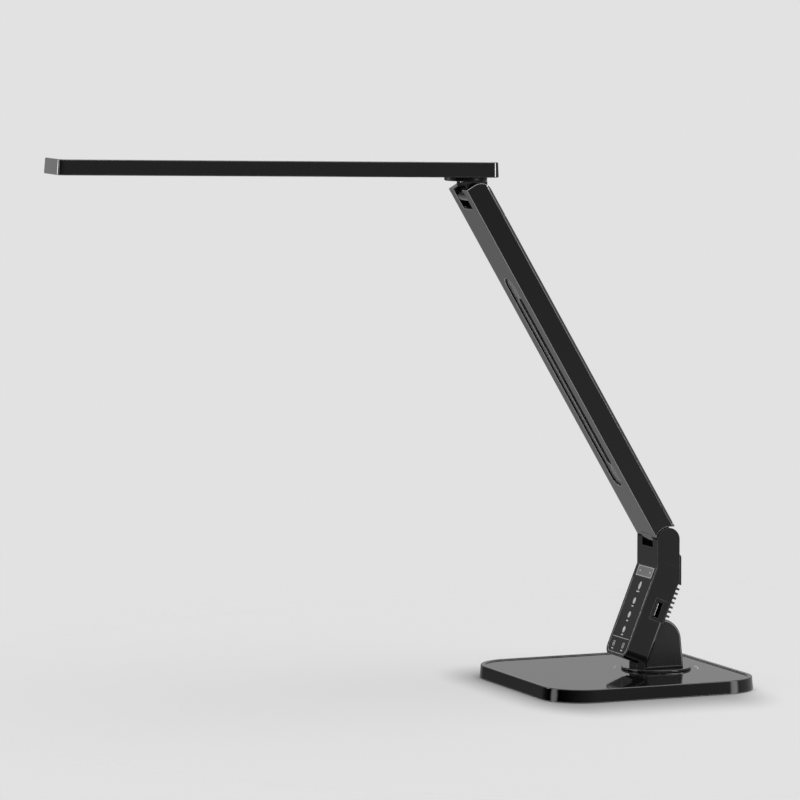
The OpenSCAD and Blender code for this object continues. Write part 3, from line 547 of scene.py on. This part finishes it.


# The grey edge colours of the gloss, neck, hinge, satin and panel blacks are painted edge highlights: light
# lines along the edges where a rounded edge would catch the light.
GLOSS = Plastic("gloss_black", grey(0.0065), 0.015, 0.05, grey(0.22), wear=1.0, edge_radius=0.0005,
                wave_scale=5.0, relief=0.0000015)
NECK = Plastic("neck_black", grey(0.018), 0.2, 0.28, grey(0.4), wear=1.0, edge_radius=0.0006,
               relief=0.000004, ior=1.3)
# Near-black with no edge colour; as the ring on the recess wall it is painted shade.
SHADE = Plastic("shade_black", grey(0.004), 0.3, 0.4, grey(0.008), wear=0, relief=0.000003, ior=1.2)
HINGE = Plastic("hinge_black", grey(0.0065), 0.06, 0.12, grey(0.3), wear=1.0, edge_radius=0.0005,
                relief=0.000003, ior=1.75)
# Pale grey for the plate on the recess floor: a painted reflection.
RECESS_FLOOR_LIGHT = Plastic("recess_grey", grey(0.2), 0.3, 0.4, grey(0.22), wear=0, grain=0.3, relief=0.000004)
SATIN = Plastic("satin_black", grey(0.011), 0.34, 0.44, grey(0.25), wear=1.0, grain=0.55, relief=0.00003)
PANEL = Plastic("panel_black", grey(0.0045), 0.03, 0.07, grey(0.2), wear=1.0, wave_scale=5.0,
                relief=0.0000015, ior=1.45)
# Greys for the bevel faces of the black shells: painted edge highlights.
RIM_HIGHLIGHT = Plastic("black_rim", grey(0.4), 0.12, 0.2, grey(0.34), wear=0, relief=0.000003)
NECK_RIM_HIGHLIGHT = Plastic("neck_rim", grey(0.16), 0.14, 0.22, grey(0.2), wear=0, relief=0.000003)
RUBBER = Plastic("rubber", grey(0.012), 0.62, 0.74, grey(0.02), grain=0.8, grain_scale=1500.0,
                 relief=0.00004)
NYLON = Plastic("natural_nylon", (0.72, 0.69, 0.6, 1.0), 0.42, 0.52, (0.8, 0.77, 0.7, 1.0), grain=0.4)
DISPLAY = Plastic("display_grey", grey(0.3), 0.12, 0.2, grey(0.36), wear=0.15, edge_radius=0.0002,
                  relief=0.000003)
BOARD = Plastic("board_green", (0.02, 0.12, 0.05, 1.0), 0.3, 0.42, (0.3, 0.34, 0.2, 1.0), grain=0.6,
                grain_scale=900.0)
WHITE = Plastic("white_plastic", grey(0.78), 0.38, 0.46, grey(0.84), grain=0.4)
PHOSPHOR = Plastic("diode_yellow", (0.8, 0.62, 0.18, 1.0), 0.3, 0.4, (0.86, 0.8, 0.55, 1.0))
CABLE = Plastic("cable_black", grey(0.016), 0.5, 0.6, grey(0.03), grain=0.5)
STEEL = Metal("steel", (0.5, 0.5, 0.51, 1.0), 0.3, 0.42)
PLATED = Metal("plated_steel", (0.66, 0.66, 0.67, 1.0), 0.16, 0.28)
ALUMINIUM = Metal("aluminium", (0.7, 0.7, 0.71, 1.0), 0.34, 0.46, line_scale=500.0)
ACRYLIC = Clear("clear_acrylic", (0.86, 0.9, 0.9, 1.0), 0.06, 0.9)
OPAL = Clear("opal", (0.86, 0.86, 0.84, 1.0), 0.4, 0.25)
INK = Plastic("panel_ink", grey(0.85), 0.3, 0.4, grey(0.8), wear=0)
FAINT_INK = Plastic("tray_ink", grey(0.42), 0.3, 0.4, grey(0.4), wear=0)
FINISHES = {finish.name: finish for finish in (
    GLOSS, SATIN, NECK, SHADE, HINGE, RECESS_FLOOR_LIGHT, PANEL, RIM_HIGHLIGHT, NECK_RIM_HIGHLIGHT, RUBBER, NYLON, DISPLAY, BOARD, WHITE,
    PHOSPHOR, CABLE, STEEL, PLATED, ALUMINIUM, ACRYLIC, OPAL, INK, FAINT_INK)}
MADE: dict[str, bpy.types.Material] = {}


def material_of(name: str) -> bpy.types.Material:
    """Gives a finish's material, made once.

    Args:
        name: The finish's name.

    Returns:
        The material.
    """
    if name not in MADE:
        MADE[name] = FINISHES[name].make()
    return MADE[name]


# ---- pieces ---------------------------------------------------------------


def read_node_slots() -> dict[str, str]:
    """Reads which finish each CAD node has from the frame's own materials.

    Returns:
        The slot's name by node.
    """
    slots: dict[str, str] = {}
    for name, node in frame["nodes"].items():
        used = [m.name.split(".")[0] for m in node.data.materials if m]
        slots[name] = next((s for s in used if s in FINISHES), GLOSS.name)
    return slots


NODE_SLOTS = read_node_slots()


def new_piece(name: str, mesh: bmesh.types.BMesh, body: str, finish: str) -> bpy.types.Object:
    """Turns a mesh in the making into a dressed piece on its body.

    Args:
        name: The piece's name.
        mesh: Its mesh, which is freed.
        body: The CAD body it rides on.
        finish: The finish's name.

    Returns:
        The new object.
    """
    data = bpy.data.meshes.new(name)
    mesh.to_mesh(data)
    mesh.free()
    piece = bpy.data.objects.new(name, data)
    bpy.context.scene.collection.objects.link(piece)
    data.materials.append(material_of(finish))
    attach(piece, body)
    return piece


# Corners of the CAD mesh this near, in metres, are one; faces this near in angle are one flat.
WELD_GAP = 2e-6
FLAT_ANGLE = math.radians(0.6)
# How strongly the large faces set the normals, and the share by which equal areas may differ.
FACE_WEIGHT = 100
SAME_AREA = 0.01


@dataclass
class SoftShell:
    """A rigid shell made again from its CAD node, with soft edges that catch the light."""

    node: str
    edge: float = 0.4
    segments: int = 2
    sharp: float = 20.0
    rim: str | None = None
    clamp: bool = True

    def build(self, body: str, finish: str) -> bpy.types.Object:
        """Makes the shell and lets it stand for its node.

        Args:
            body: The CAD body it rides on.
            finish: The shell's finish.

        Returns:
            The piece.
        """
        mesh = bmesh.new()
        mesh.from_mesh(frame["nodes"][self.node].data)
        bmesh.ops.remove_doubles(mesh, verts=mesh.verts, dist=WELD_GAP)
        bmesh.ops.dissolve_limit(mesh, angle_limit=FLAT_ANGLE, verts=mesh.verts, edges=mesh.edges)
        for face in mesh.faces:
            face.smooth = True
        piece = new_piece(f"{self.node}_shell", mesh, body, finish)
        soften = piece.modifiers.new("soft_edges", "BEVEL")
        soften.width = self.edge * MM
        soften.segments = self.segments
        soften.limit_method = "ANGLE"
        soften.angle_limit = math.radians(self.sharp)
        soften.use_clamp_overlap = self.clamp
        soften.harden_normals = True
        soften.miter_outer = "MITER_ARC"
        # The rim finish paints the bevel faces a lighter grey: a painted edge highlight.
        if self.rim:
            piece.data.materials.append(material_of(self.rim))
            soften.material = 1
        flatten = piece.modifiers.new("flat_faces", "WEIGHTED_NORMAL")
        flatten.mode = "FACE_AREA"
        flatten.weight = FACE_WEIGHT
        flatten.thresh = SAME_AREA
        flatten.keep_sharp = True
        apply_modifiers(piece)
        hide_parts(self.node)
        return piece


def apply_modifiers(piece: bpy.types.Object) -> None:
    """Bakes a piece's modifiers into its mesh.

    Args:
        piece: The piece.
    """
    bpy.context.view_layer.update()
    graph = bpy.context.evaluated_depsgraph_get()
    data = bpy.data.meshes.new_from_object(piece.evaluated_get(graph), depsgraph=graph)
    piece.modifiers.clear()
    old = piece.data
    piece.data = data
    data.name = piece.name
    bpy.data.meshes.remove(old)


def strip_outline(points: Outline, width: float) -> Outline:
    """Outline of a line of even width through points.

    Args:
        points: The line's points.
        width: The line's width.

    Returns:
        The outline's corners, in order.
    """
    left, right = [], []
    for i, (x, y) in enumerate(points):
        x0, y0 = points[max(i - 1, 0)]
        x1, y1 = points[min(i + 1, len(points) - 1)]
        run = math.hypot(x1 - x0, y1 - y0)
        nx, ny = -(y1 - y0) / run * width / 2, (x1 - x0) / run * width / 2
        left.append((x + nx, y + ny))
        right.append((x - nx, y - ny))
    return left + right[::-1]


def ring_points(radius: float, start: float, end: float, steps: int, centre: Point = (0, 0)) -> Outline:
    """Points along an arc.

    Args:
        radius: The arc's radius.
        start: First angle, in degrees.
        end: Last angle, in degrees.
        steps: Number of pieces.
        centre: The arc's centre.

    Returns:
        The points.
    """
    turn = [math.radians(start + (end - start) * i / steps) for i in range(steps + 1)]
    return [(centre[0] + radius * math.cos(a), centre[1] + radius * math.sin(a)) for a in turn]


def rounded_box(width: float, height: float, radius: float, centre: Point = (0, 0),
                steps: int = 6) -> Outline:
    """Outline of a rectangle with round corners.

    Args:
        width: Size along the first axis.
        height: Size along the second axis.
        radius: Corner radius.
        centre: The rectangle's centre.
        steps: Pieces in each corner.

    Returns:
        The corners, in order.
    """
    points: Outline = []
    for quarter, (sx, sy) in enumerate(((1, 1), (-1, 1), (-1, -1), (1, -1))):
        corner = (centre[0] + sx * (width / 2 - radius), centre[1] + sy * (height / 2 - radius))
        points += ring_points(radius, 90 * quarter, 90 * quarter + 90, steps, corner)
    return points


@dataclass
class Print:
    """Ink, contacts and patches of painted light and shade laid on a face as thin plates, in millimetres on
    that face.
    """

    name: str
    place: Matrix
    lift: float = 0.02
    thickness: float = 0.015
    mesh: bmesh.types.BMesh = field(default_factory=bmesh.new)

    def plate(self, outline: Outline, hole: Outline | None = None) -> None:
        """Adds a plate.

        Args:
            outline: Its corners, in order.
            hole: Corners of a hole that follows the outline point by point.
        """
        low, top = self.rows(outline)
        if hole is None:
            self.mesh.faces.new(top)
            self.band(low, top)
            return
        low_in, top_in = self.rows(hole)
        self.band(low, top)
        self.band(top, top_in)
        self.band(top_in, low_in)

    def rows(self, outline: Outline) -> list[list[bmesh.types.BMVert]]:
        """Adds the corners of an outline at the plate's foot and at its top."""
        return [[self.mesh.verts.new(self.place @ Vector((x, y, z)) * MM) for x, y in outline]
                for z in (self.lift - self.thickness, self.lift)]

    def band(self, one: list[bmesh.types.BMVert], two: list[bmesh.types.BMVert]) -> None:
        """Joins two closed rows of corners by faces.

        Args:
            one: First row.
            two: Second row.
        """
        count = len(one)
        for i in range(count):
            self.mesh.faces.new((one[i], one[(i + 1) % count], two[(i + 1) % count], two[i]))

    def line(self, points: Outline, width: float) -> None:
        """Adds a line of even width."""
        self.plate(strip_outline(points, width))

    def finish(self, body: str, ink: str = INK.name) -> bpy.types.Object:
        """Makes the print a piece.

        Args:
            body: The CAD body it rides on.
            ink: The ink's finish.

        Returns:
            The piece.
        """
        bmesh.ops.recalc_face_normals(self.mesh, faces=self.mesh.faces)
        return new_piece(self.name, self.mesh, body, ink)


def frame_at(origin: Point3, right: Point3, out: Point3) -> Matrix:
    """Place of a face: its own X to the right, its own Z out of it.

    Args:
        origin: A point of the face, in millimetres.
        right: Direction of its X.
        out: Direction out of it.

    Returns:
        The transform from the face to the lamp.
    """
    z = Vector(out).normalized()
    x = Vector(right).normalized()
    return placed(origin, (x, z.cross(x), z))


def placed(origin: Point3, axes: tuple[Point3, Point3, Point3]) -> Matrix:
    """The transform that puts X, Y and Z along three axes at a point.

    Args:
        origin: The point.
        axes: The three directions, each of length 1.

    Returns:
        The transform.
    """
    return Matrix.Translation(Vector(origin)) @ Matrix(axes).transposed().to_4x4()


# ---- the lamp -------------------------------------------------------------


@dataclass
class Assembly:
    """A body of the lamp: its shells made again, its prints and its carried-over nodes."""

    body: str
    shells: list[SoftShell] = field(default_factory=list)
    own_finishes: dict[str, str] = field(default_factory=dict)

    def build(self) -> None:
        """Makes the body's pieces and dresses its nodes."""
        for shell in self.shells:
            piece = shell.build(self.body, self.own_finishes.get(shell.node, NODE_SLOTS[shell.node]))
            LOG.info("%s: %s, %d faces", self.body, piece.name, len(piece.data.polygons))
        self.print_marks()
        self.dress_nodes()

    def print_marks(self) -> None:
        """Lays printed marks on the body; most bodies have none."""

    def dress_nodes(self) -> None:
        """Gives every node of the body its finish."""
        for name, node in frame["nodes"].items():
            if node["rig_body"] != self.body:
                continue
            finish = material_of(self.own_finishes.get(name, NODE_SLOTS[name]))
            if node.data.materials:
                for i in range(len(node.data.materials)):
                    node.data.materials[i] = finish
            else:
                node.data.materials.append(finish)
            LOG.info("%s: %s in %s", self.body, name, finish.name)


@dataclass
class Base(Assembly):
    """The weighted base with its tray and the curved marks beside the turntable."""

    body: str = "base"
    shells: list[SoftShell] = field(default_factory=lambda: [
        SoftShell("base_cover", 0.16, rim=RIM_HIGHLIGHT.name, clamp=False)])
    swivel_y: float = 36.0
    tray_z: float = 9.3
    mark_radius: float = 33.5
    mark_width: float = 0.9
    head_length: float = 4.0
    head_half_width: float = 1.8
    mark_spans: tuple[Point, ...] = ((-135, -112), (60, 83), (-12, 11))

    def print_marks(self) -> None:
        """Lays a short arc with an arrowhead at each mark on the tray."""
        ink = Print("swivel_marks", Matrix.Translation(Vector((0, self.swivel_y, self.tray_z))))
        for start, end in self.mark_spans:
            ink.line(ring_points(self.mark_radius, start, end, 8), self.mark_width)
            corners = ((-self.head_half_width, 0), (self.head_half_width, 0), (0, self.head_length))
            ink.plate([ring_points(self.mark_radius + out, end + ahead, end + ahead, 1)[0]
                       for out, ahead in corners])
        ink.finish(self.body, FAINT_INK.name)


@dataclass
class Neck(Assembly):
    """The turntable and the two halves of the neck."""

    body: str = "neck"
    shells: list[SoftShell] = field(default_factory=lambda: [
        SoftShell("turntable", 0.3, rim=RIM_HIGHLIGHT.name),
        SoftShell("neck_left", 0.3, rim=NECK_RIM_HIGHLIGHT.name, clamp=False),
        SoftShell("neck_right", 0.3, rim=NECK_RIM_HIGHLIGHT.name, clamp=False)])
    own_finishes: dict[str, str] = field(default_factory=lambda: {
        "neck_left": NECK.name, "neck_right": NECK.name})


@dataclass
class Column(Assembly):
    """The control column with its touch panel, socket and ribbed cover."""

    body: str = "column"
    shells: list[SoftShell] = field(default_factory=lambda: [
        SoftShell("column_casing", 0.45, rim=RIM_HIGHLIGHT.name), SoftShell("column_back_cover", 0.35),
        SoftShell("ribbed_cover", 0.2), SoftShell("touch_panel", 0.25, rim=RIM_HIGHLIGHT.name)])
    own_finishes: dict[str, str] = field(default_factory=lambda: {
        "usb_bezel": GLOSS.name, "usb_tongue": SHADE.name})
    front_y: float = 27.85
    bend_z: float = 92.7
    lean: float = 22.0
    panel_width: float = 35.0
    panel_foot: float = 74.9
    panel_corner: float = 5.7
    border_in: float = 0.9
    border_width: float = 0.28
    icon_rows: tuple[float, ...] = (17.2, 30.1, 41.9, 54.5)
    icon_half_heights: tuple[float, ...] = (3.5, 2.7, 2.7, 2.7)
    icon_half_width: float = 2.1
    icon_taper: float = 1.3
    bar_rows: tuple[float, ...] = (22.2, 34.6, 47.0, 58.9)
    bar_widths: tuple[float, ...] = (5.4, 3.8, 3.8, 3.8)
    bar_height: float = 1.0
    bar_corner: float = 0.45
    divider_row: float = 61.4
    divider_half: float = 14.7
    divider_width: float = 0.35
    low_icon_row: float = 67.2
    low_bar_row: float = 71.4
    low_icon_x: float = 8.5
    low_icon_ring: tuple[Point3, Point3] = ((3.4, 4.6, 1.5), (2.4, 3.6, 1.0))
    low_icon_dot: Point3 = (1.0, 1.6, 0.4)
    low_bar: Point3 = (3.6, 1.0, 0.4)
    window_row: float = 5.3
    window_ring: tuple[Point3, Point3] = ((27.8, 8.6, 0.4), (26.2, 7.4, 0.3))
    window_mark: Point3 = (2.4, 1.2, 0.3)
    window_mark_x: float = 9.0
    window_lift: float = 0.03
    border_top: float = 12.0
    socket_face: float = 1.5
    socket_place: Point = (28.16, 59.03)
    tongue_middle: float = -1.15
    tongue_drop: float = 1.93
    contact_reach: float = 5.2
    contact_half_gap: float = 0.75
    contact_width: float = 0.3

    def panel_face(self) -> Matrix:
        """Place of the panel's face, its Y up the slope from the bend."""
        turn = math.radians(self.lean)
        out = (0, -math.cos(turn), math.sin(turn))
        return frame_at((0, self.front_y, self.bend_z), (1, 0, 0), out)

    def print_marks(self) -> None:
        """Prints the panel's keys, bars and divider, then its border and window, and dresses the socket."""
        ink = Print("panel_print", self.panel_face())
        rows = zip(self.icon_rows, self.icon_half_heights, self.bar_rows, self.bar_widths)
        for icon, half_height, bar, bar_width in rows:
            ink.plate(self.almond(0, -icon, half_height, self.icon_half_width))
            ink.plate(rounded_box(bar_width, self.bar_height, self.bar_corner, (0, -bar)))
        ink.line([(side * self.divider_half, -self.divider_row) for side in (-1, 1)], self.divider_width)
        for x in (-self.low_icon_x, self.low_icon_x):
            ink.plate(*(rounded_box(*sizes, (x, -self.low_icon_row)) for sizes in self.low_icon_ring))
            ink.plate(rounded_box(*self.low_icon_dot, (x, -self.low_icon_row)))
            ink.plate(rounded_box(*self.low_bar, (x, -self.low_bar_row)))
        ink.finish(self.body)
        self.print_border()
        self.print_window()
        self.print_socket()

    def almond(self, x: float, y: float, half_height: float, half_width: float) -> Outline:
        """Outline of a pointed oval, the plain mark of a key.

        Args:
            x: Its middle across.
            y: Its middle along the slope.
            half_height: Half its height.
            half_width: Half its width.

        Returns:
            The corners, in order.
        """
        side = [(x + half_width * math.cos(a) ** self.icon_taper, y + half_height * math.sin(a))
                for a in (math.radians(-90 + 15 * i) for i in range(13))]
        return side + [(2 * x - px, py) for px, py in reversed(side[1:-1])]

    def print_border(self) -> None:
        """Prints the fine line round the panel's lower end and sides."""
        w = self.panel_width / 2 - self.border_in
        foot = -(self.panel_foot - self.border_in)
        r = self.panel_corner - self.border_in
        path = [(-w, -self.border_top)] + ring_points(r, 180, 270, 8, (-w + r, foot + r))
        path += ring_points(r, 270, 360, 8, (w - r, foot + r)) + [(w, -self.border_top)]
        line = Print("panel_border", self.panel_face())
        line.line(path, self.border_width)
        line.finish(self.body)

    def print_window(self) -> None:
        """Prints the pale frame of the display window and two faint marks in it."""
        window = Print("window_frame", self.panel_face(), lift=self.window_lift)
        window.plate(*(rounded_box(*sizes, (0, -self.window_row)) for sizes in self.window_ring))
        for x in (-self.window_mark_x, self.window_mark_x):
            window.plate(rounded_box(*self.window_mark, (x, -self.window_row)))
        window.finish(self.body)

    def print_socket(self) -> None:
        """Lays two plated contacts along the end of the socket's tongue."""
        turn = math.radians(self.lean)
        back = Vector((0, math.cos(turn), -math.sin(turn)))
        socket = Vector((self.panel_width / 2 + self.socket_face, *self.socket_place))
        middle = socket + back * self.tongue_middle - Vector((self.tongue_drop, 0, 0))
        contacts = Print("tongue_contacts", frame_at(tuple(middle), tuple(back), (1, 0, 0)))
        for side in (-self.contact_half_gap, self.contact_half_gap):
            contacts.line([(side, -self.contact_reach), (side, self.contact_reach)], self.contact_width)
        contacts.finish(self.body, PLATED.name)


@dataclass
class UpperArm(Assembly):
    """The long arm with its recess, its slot and the fork for the head."""

    body: str = "arm"
    shells: list[SoftShell] = field(default_factory=lambda: [
        SoftShell("arm_casing", 0.5, rim=RIM_HIGHLIGHT.name, clamp=False), SoftShell("arm_back_cover", 0.3)])
    pin: Point = (37.55, 114.7)
    lean: float = 30.5
    recess_floor: float = -6.15
    recess_middle: float = 151.9
    recess_size: Point = (15.6, 194.4)
    slot_size: Point = (8.2, 157.0)
    # Lift, foot and inset of the near-black ring on the recess wall, which is painted shade.
    wall_top: float = 1.35
    wall_foot: float = 0.02
    wall_shade_inset: float = 0.03
    end_flat: float = 0.01

    def print_marks(self) -> None:
        """Lays a pale plate on the floor of the recess, round the slot, as a painted reflection, and a
        near-black ring on its wall as painted shade.
        """
        turn = math.radians(self.lean)
        y = self.pin[0] + self.recess_floor * math.cos(turn) - self.recess_middle * math.sin(turn)
        z = self.pin[1] + self.recess_floor * math.sin(turn) + self.recess_middle * math.cos(turn)
        floor = frame_at((0, y, z), (1, 0, 0), (0, -math.cos(turn), -math.sin(turn)))
        # A pale plate on the recess floor: a painted reflection.
        floor_light = Print("recess_floor_light", floor)
        floor_light.plate(*(self.stadium(*size) for size in (self.recess_size, self.slot_size)))
        floor_light.finish(self.body, RECESS_FLOOR_LIGHT.name)
        # A near-black ring on the recess wall: painted shade.
        wall = Print("recess_wall_shade", floor, self.wall_top, self.wall_top - self.wall_foot)
        width, length = self.recess_size
        wall.plate(*(self.stadium(width - inset, length - inset) for inset in (0, 2 * self.wall_shade_inset)))
        wall.finish(self.body, SHADE.name)

    def stadium(self, width: float, length: float) -> Outline:
        """Outline of a strip with round ends, each with a trace of flat in its middle."""
        return rounded_box(width, length, width / 2 - self.end_flat)


@dataclass
class Knuckle(Assembly):
    """The knuckle and its swivel disc between arm and head."""

    body: str = "knuckle"
    own_finishes: dict[str, str] = field(default_factory=lambda: {
        "swivel_disc": SHADE.name, "knuckle": HINGE.name})
    shells: list[SoftShell] = field(default_factory=lambda: [SoftShell("swivel_disc", 0.3)])


@dataclass
class Head(Assembly):
    """The flat light head with its opal window underneath."""

    body: str = "head"
    shells: list[SoftShell] = field(default_factory=lambda: [
        SoftShell("head_frame", 0.5, 3), SoftShell("head_cover", 0.2)])


# ---- the studio -----------------------------------------------------------


@dataclass
class Softbox:
    """A rectangular studio lamp that looks at a point of the lamp."""

    name: str
    place: Point3
    target: Point3
    size: Point
    power: float
    gloss_only: bool = False

    def build(self) -> bpy.types.Object:
        """Hangs the softbox.

        Returns:
            The light's object.
        """
        light = bpy.data.lights.new(self.name, "AREA")
        light.shape = "RECTANGLE"
        light.size, light.size_y = self.size
        light.energy = self.power
        lamp = bpy.data.objects.new(self.name, light)
        bpy.context.scene.collection.objects.link(lamp)
        lamp.visible_diffuse = not self.gloss_only
        lamp.location = self.place
        sight = Vector(self.target) - Vector(self.place)
        lamp.rotation_euler = sight.to_track_quat("-Z", "Y").to_euler()
        return lamp


@dataclass(frozen=True)
class Card:
    """A tall, soft-edged reflector card that shows in the gloss, by its direction in degrees."""

    azimuth: float
    inner: float
    outer: float
    level: float

    def glow(self, tree: Tree, ahead: Socket) -> Socket:
        """Gives the card's glow in every direction.

        Args:
            tree: The world's node tree.
            ahead: The direction, level and of length 1.

        Returns:
            The glow's socket.
        """
        turn = math.radians(self.azimuth)
        near = vector_step(tree, "DOT_PRODUCT", ahead, (math.cos(turn), math.sin(turn), 0.0))
        edge = (math.cos(math.radians(self.outer)), math.cos(math.radians(self.inner)))
        return ranged(tree, near.outputs["Value"], edge, (0.0, self.level), "SMOOTHSTEP")


@dataclass
class Studio:
    """The pale floor, the soft light, the plain background and the camera."""

    floor_z: float = -0.0005
    floor_radius: float = 1.6
    background: float = 0.760
    floor_tone: float = 0.66
    shade_tone: float = 0.34
    paper_roughness: float = 0.9
    fade_reach: Point = (0.22, 0.75)
    shade_half: Point = (0.057, 0.0575)
    shade_centre: Point = (0.015, -0.015)
    shade_squeeze: float = 0.55
    shade_reach: Point = (0.01, 0.056)
    ambient: float = 0.172
    ambient_slope: float = 0.23
    heights: tuple[Point, ...] = ((0.04, 0.0), (0.14, 0.23), (0.38, 0.38), (1.0, 0.9))
    cards: tuple[Card, ...] = (Card(-100, 0, 14, 2.7), Card(41, 0, 15.5, 3.3))
    softboxes: tuple[Softbox, ...] = (
        Softbox("top_softbox", (0.2, 0.1, 1.9), (0, -0.05, 0.1), (1.6, 1.6), 16.0),
        Softbox("end_softbox", (-1.01, -0.89, 0.33), (0, -0.47, 0.42), (0.4, 0.4), 0.4),
        Softbox("head_card", (-1.4, 0.25, 0.6), (0, -0.2, 0.42), (1.2, 0.3), 0.8),
        Softbox("end_strip", (-0.75, -1.11, 0.42), (0.01, -0.47, 0.412), (0.3, 0.3), 3.5, True),
        Softbox("head_strip", (0.2265, 0.0185, 0.426), (0.0145, -0.114, 0.411), (0.03, 0.03), 0.13, True),
    )
    camera_place: Point3 = (3.5839, -1.6796, 0.6029)
    camera_right: Point3 = (0.3846, 0.9231, 0.0)
    camera_up: Point3 = (-0.0875, 0.0365, 0.9955)
    camera_back: Point3 = (0.9189, -0.3829, 0.0948)
    lens: float = 225.0
    sensor_width: float = 36.0
    clip_end: float = 50.0

    def build(self) -> None:
        """Sets up the studio."""
        self.build_floor()
        self.build_world()
        for softbox in self.softboxes:
            softbox.build()
        self.build_camera()
        bpy.context.scene.view_settings.view_transform = "Standard"

    def build_floor(self) -> None:
        """Lays the floor: pale and matt near the lamp, background tone further out."""
        mesh = bmesh.new()
        rim = ring_points(self.floor_radius, 0, 354, 59)
        mesh.faces.new([mesh.verts.new((x, y, self.floor_z)) for x, y in rim])
        data = bpy.data.meshes.new("floor")
        mesh.to_mesh(data)
        mesh.free()
        floor = bpy.data.objects.new("floor", data)
        bpy.context.scene.collection.objects.link(floor)
        data.materials.append(self.floor_material())

    def floor_material(self) -> bpy.types.Material:
        """The floor's matt paper, fading out to the background with distance and clear from below.

        Returns:
            The material.
        """
        material = bpy.data.materials.new("studio_paper")
        material.use_nodes = True
        tree = material.node_tree
        paper = tree.nodes["Principled BSDF"]
        tree.links.new(self.contact_shade(tree), paper.inputs["Base Color"])
        paper.inputs["Roughness"].default_value = self.paper_roughness
        paper.inputs["Specular IOR Level"].default_value = 0.0
        place = add_node(tree, "ShaderNodeTexCoord").outputs["Object"]
        far = vector_step(tree, "LENGTH", place).outputs["Value"]
        fade = ranged(tree, far, self.fade_reach, kind="SMOOTHSTEP")
        below = add_node(tree, "ShaderNodeNewGeometry").outputs["Backfacing"]
        mirrored = add_node(tree, "ShaderNodeLightPath").outputs["Is Glossy Ray"]
        clear = add_node(tree, "ShaderNodeBsdfTransparent").outputs["BSDF"]
        face = mixed(tree, mirrored, paper.outputs["BSDF"], clear)
        whole = mixed(tree, combined(tree, "MAXIMUM", fade, below), face, clear)
        tree.links.new(whole, tree.nodes["Material Output"].inputs["Surface"])
        return material

    def contact_shade(self, tree: Tree) -> Socket:
        """The paper's tone, darker in a soft band round the base.

        Args:
            tree: The floor's node tree.

        Returns:
            The tone's socket.
        """
        at = add_node(tree, "ShaderNodeTexCoord").outputs["Object"]
        for operation, fixed in (
                ("SUBTRACT", (*self.shade_centre, 0.0)), ("ABSOLUTE", None),
                ("SUBTRACT", (*self.shade_half, 0.0)), ("MAXIMUM", (0.0, 0.0, 0.0)),
                ("MULTIPLY", (self.shade_squeeze, 1.0, 0.0))):
            at = vector_step(tree, operation, at, fixed).outputs[0]
        gap = vector_step(tree, "LENGTH", at).outputs["Value"]
        return ranged(tree, gap, self.shade_reach, (self.shade_tone, self.floor_tone), "SMOOTHSTEP")

    def build_world(self) -> None:
        """Sets the world: the plain background for the camera, a soft gradient for light and gloss."""
        world = bpy.data.worlds.new("studio")
        bpy.context.scene.world = world
        world.use_nodes = True
        tree = world.node_tree
        ambient = tree.nodes["Background"]
        path = add_node(tree, "ShaderNodeLightPath")
        direction = add_node(tree, "ShaderNodeTexCoord").outputs["Generated"]
        glow = combined(tree, "MULTIPLY", self.card_glow(tree, direction), path.outputs["Is Glossy Ray"])
        tree.links.new(combined(tree, "ADD", self.gradient(tree, direction), glow), ambient.inputs["Color"])
        seen = add_node(tree, "ShaderNodeBackground")
        seen.inputs["Color"].default_value = grey(self.background)
        mix = mixed(tree, path.outputs["Is Camera Ray"], ambient.outputs[0], seen.outputs[0])
        tree.links.new(mix, tree.nodes["World Output"].inputs["Surface"])

    def gradient(self, tree: Tree, direction: Socket) -> Socket:
        """The studio's soft level: dim at the horizon, rising upwards, downwards and to the back.

        Args:
            tree: The world's node tree.
            direction: The direction's socket.

        Returns:
            The level's socket.
        """
        parts = add_node(tree, "ShaderNodeSeparateXYZ")
        aside = add_node(tree, "ShaderNodeMath", operation="MULTIPLY_ADD")
        aside.inputs[1].default_value = self.ambient_slope
        aside.inputs[2].default_value = self.ambient
        height = add_node(tree, "ShaderNodeMath", operation="ABSOLUTE")
        rise = add_node(tree, "ShaderNodeValToRGB")
        while len(rise.color_ramp.elements) < len(self.heights):
            rise.color_ramp.elements.new(1.0)
        for stop, (place, level) in zip(rise.color_ramp.elements, self.heights):
            stop.position = place
            stop.color = grey(level)
        tree.links.new(direction, parts.inputs[0])
        tree.links.new(parts.outputs["Y"], aside.inputs[0])
        tree.links.new(parts.outputs["Z"], height.inputs[0])
        tree.links.new(height.outputs[0], rise.inputs[0])
        return combined(tree, "ADD", aside.outputs[0], rise.outputs["Color"])

    def card_glow(self, tree: Tree, direction: Socket) -> Socket:
        """The glow of all the cards.

        Args:
            tree: The world's node tree.
            direction: The direction's socket.

        Returns:
            The glow's socket.
        """
        level = vector_step(tree, "MULTIPLY", direction, (1.0, 1.0, 0.0)).outputs[0]
        ahead = vector_step(tree, "NORMALIZE", level).outputs[0]
        glows = [card.glow(tree, ahead) for card in self.cards]
        return functools.reduce(functools.partial(combined, tree, "ADD"), glows)

    def build_camera(self) -> None:
        """Stands the camera where the lamp is seen from its front right, a little above."""
        camera = bpy.data.cameras.new("studio_camera")
        camera.lens = self.lens
        camera.sensor_width = self.sensor_width
        camera.clip_end = self.clip_end
        stand = bpy.data.objects.new("studio_camera", camera)
        bpy.context.scene.collection.objects.link(stand)
        axes = (self.camera_right, self.camera_up, self.camera_back)
        stand.matrix_world = placed(self.camera_place, axes)
        bpy.context.scene.camera = stand


def main() -> None:
    """Builds the lamp body by body, then the studio, and reports each piece."""
    logging.basicConfig(level=logging.INFO, format="%(message)s")
    for assembly in (Base(), Neck(), Column(), UpperArm(), Knuckle(), Head()):
        assembly.build()
    Studio().build()


if __name__ == "__main__":
    main()
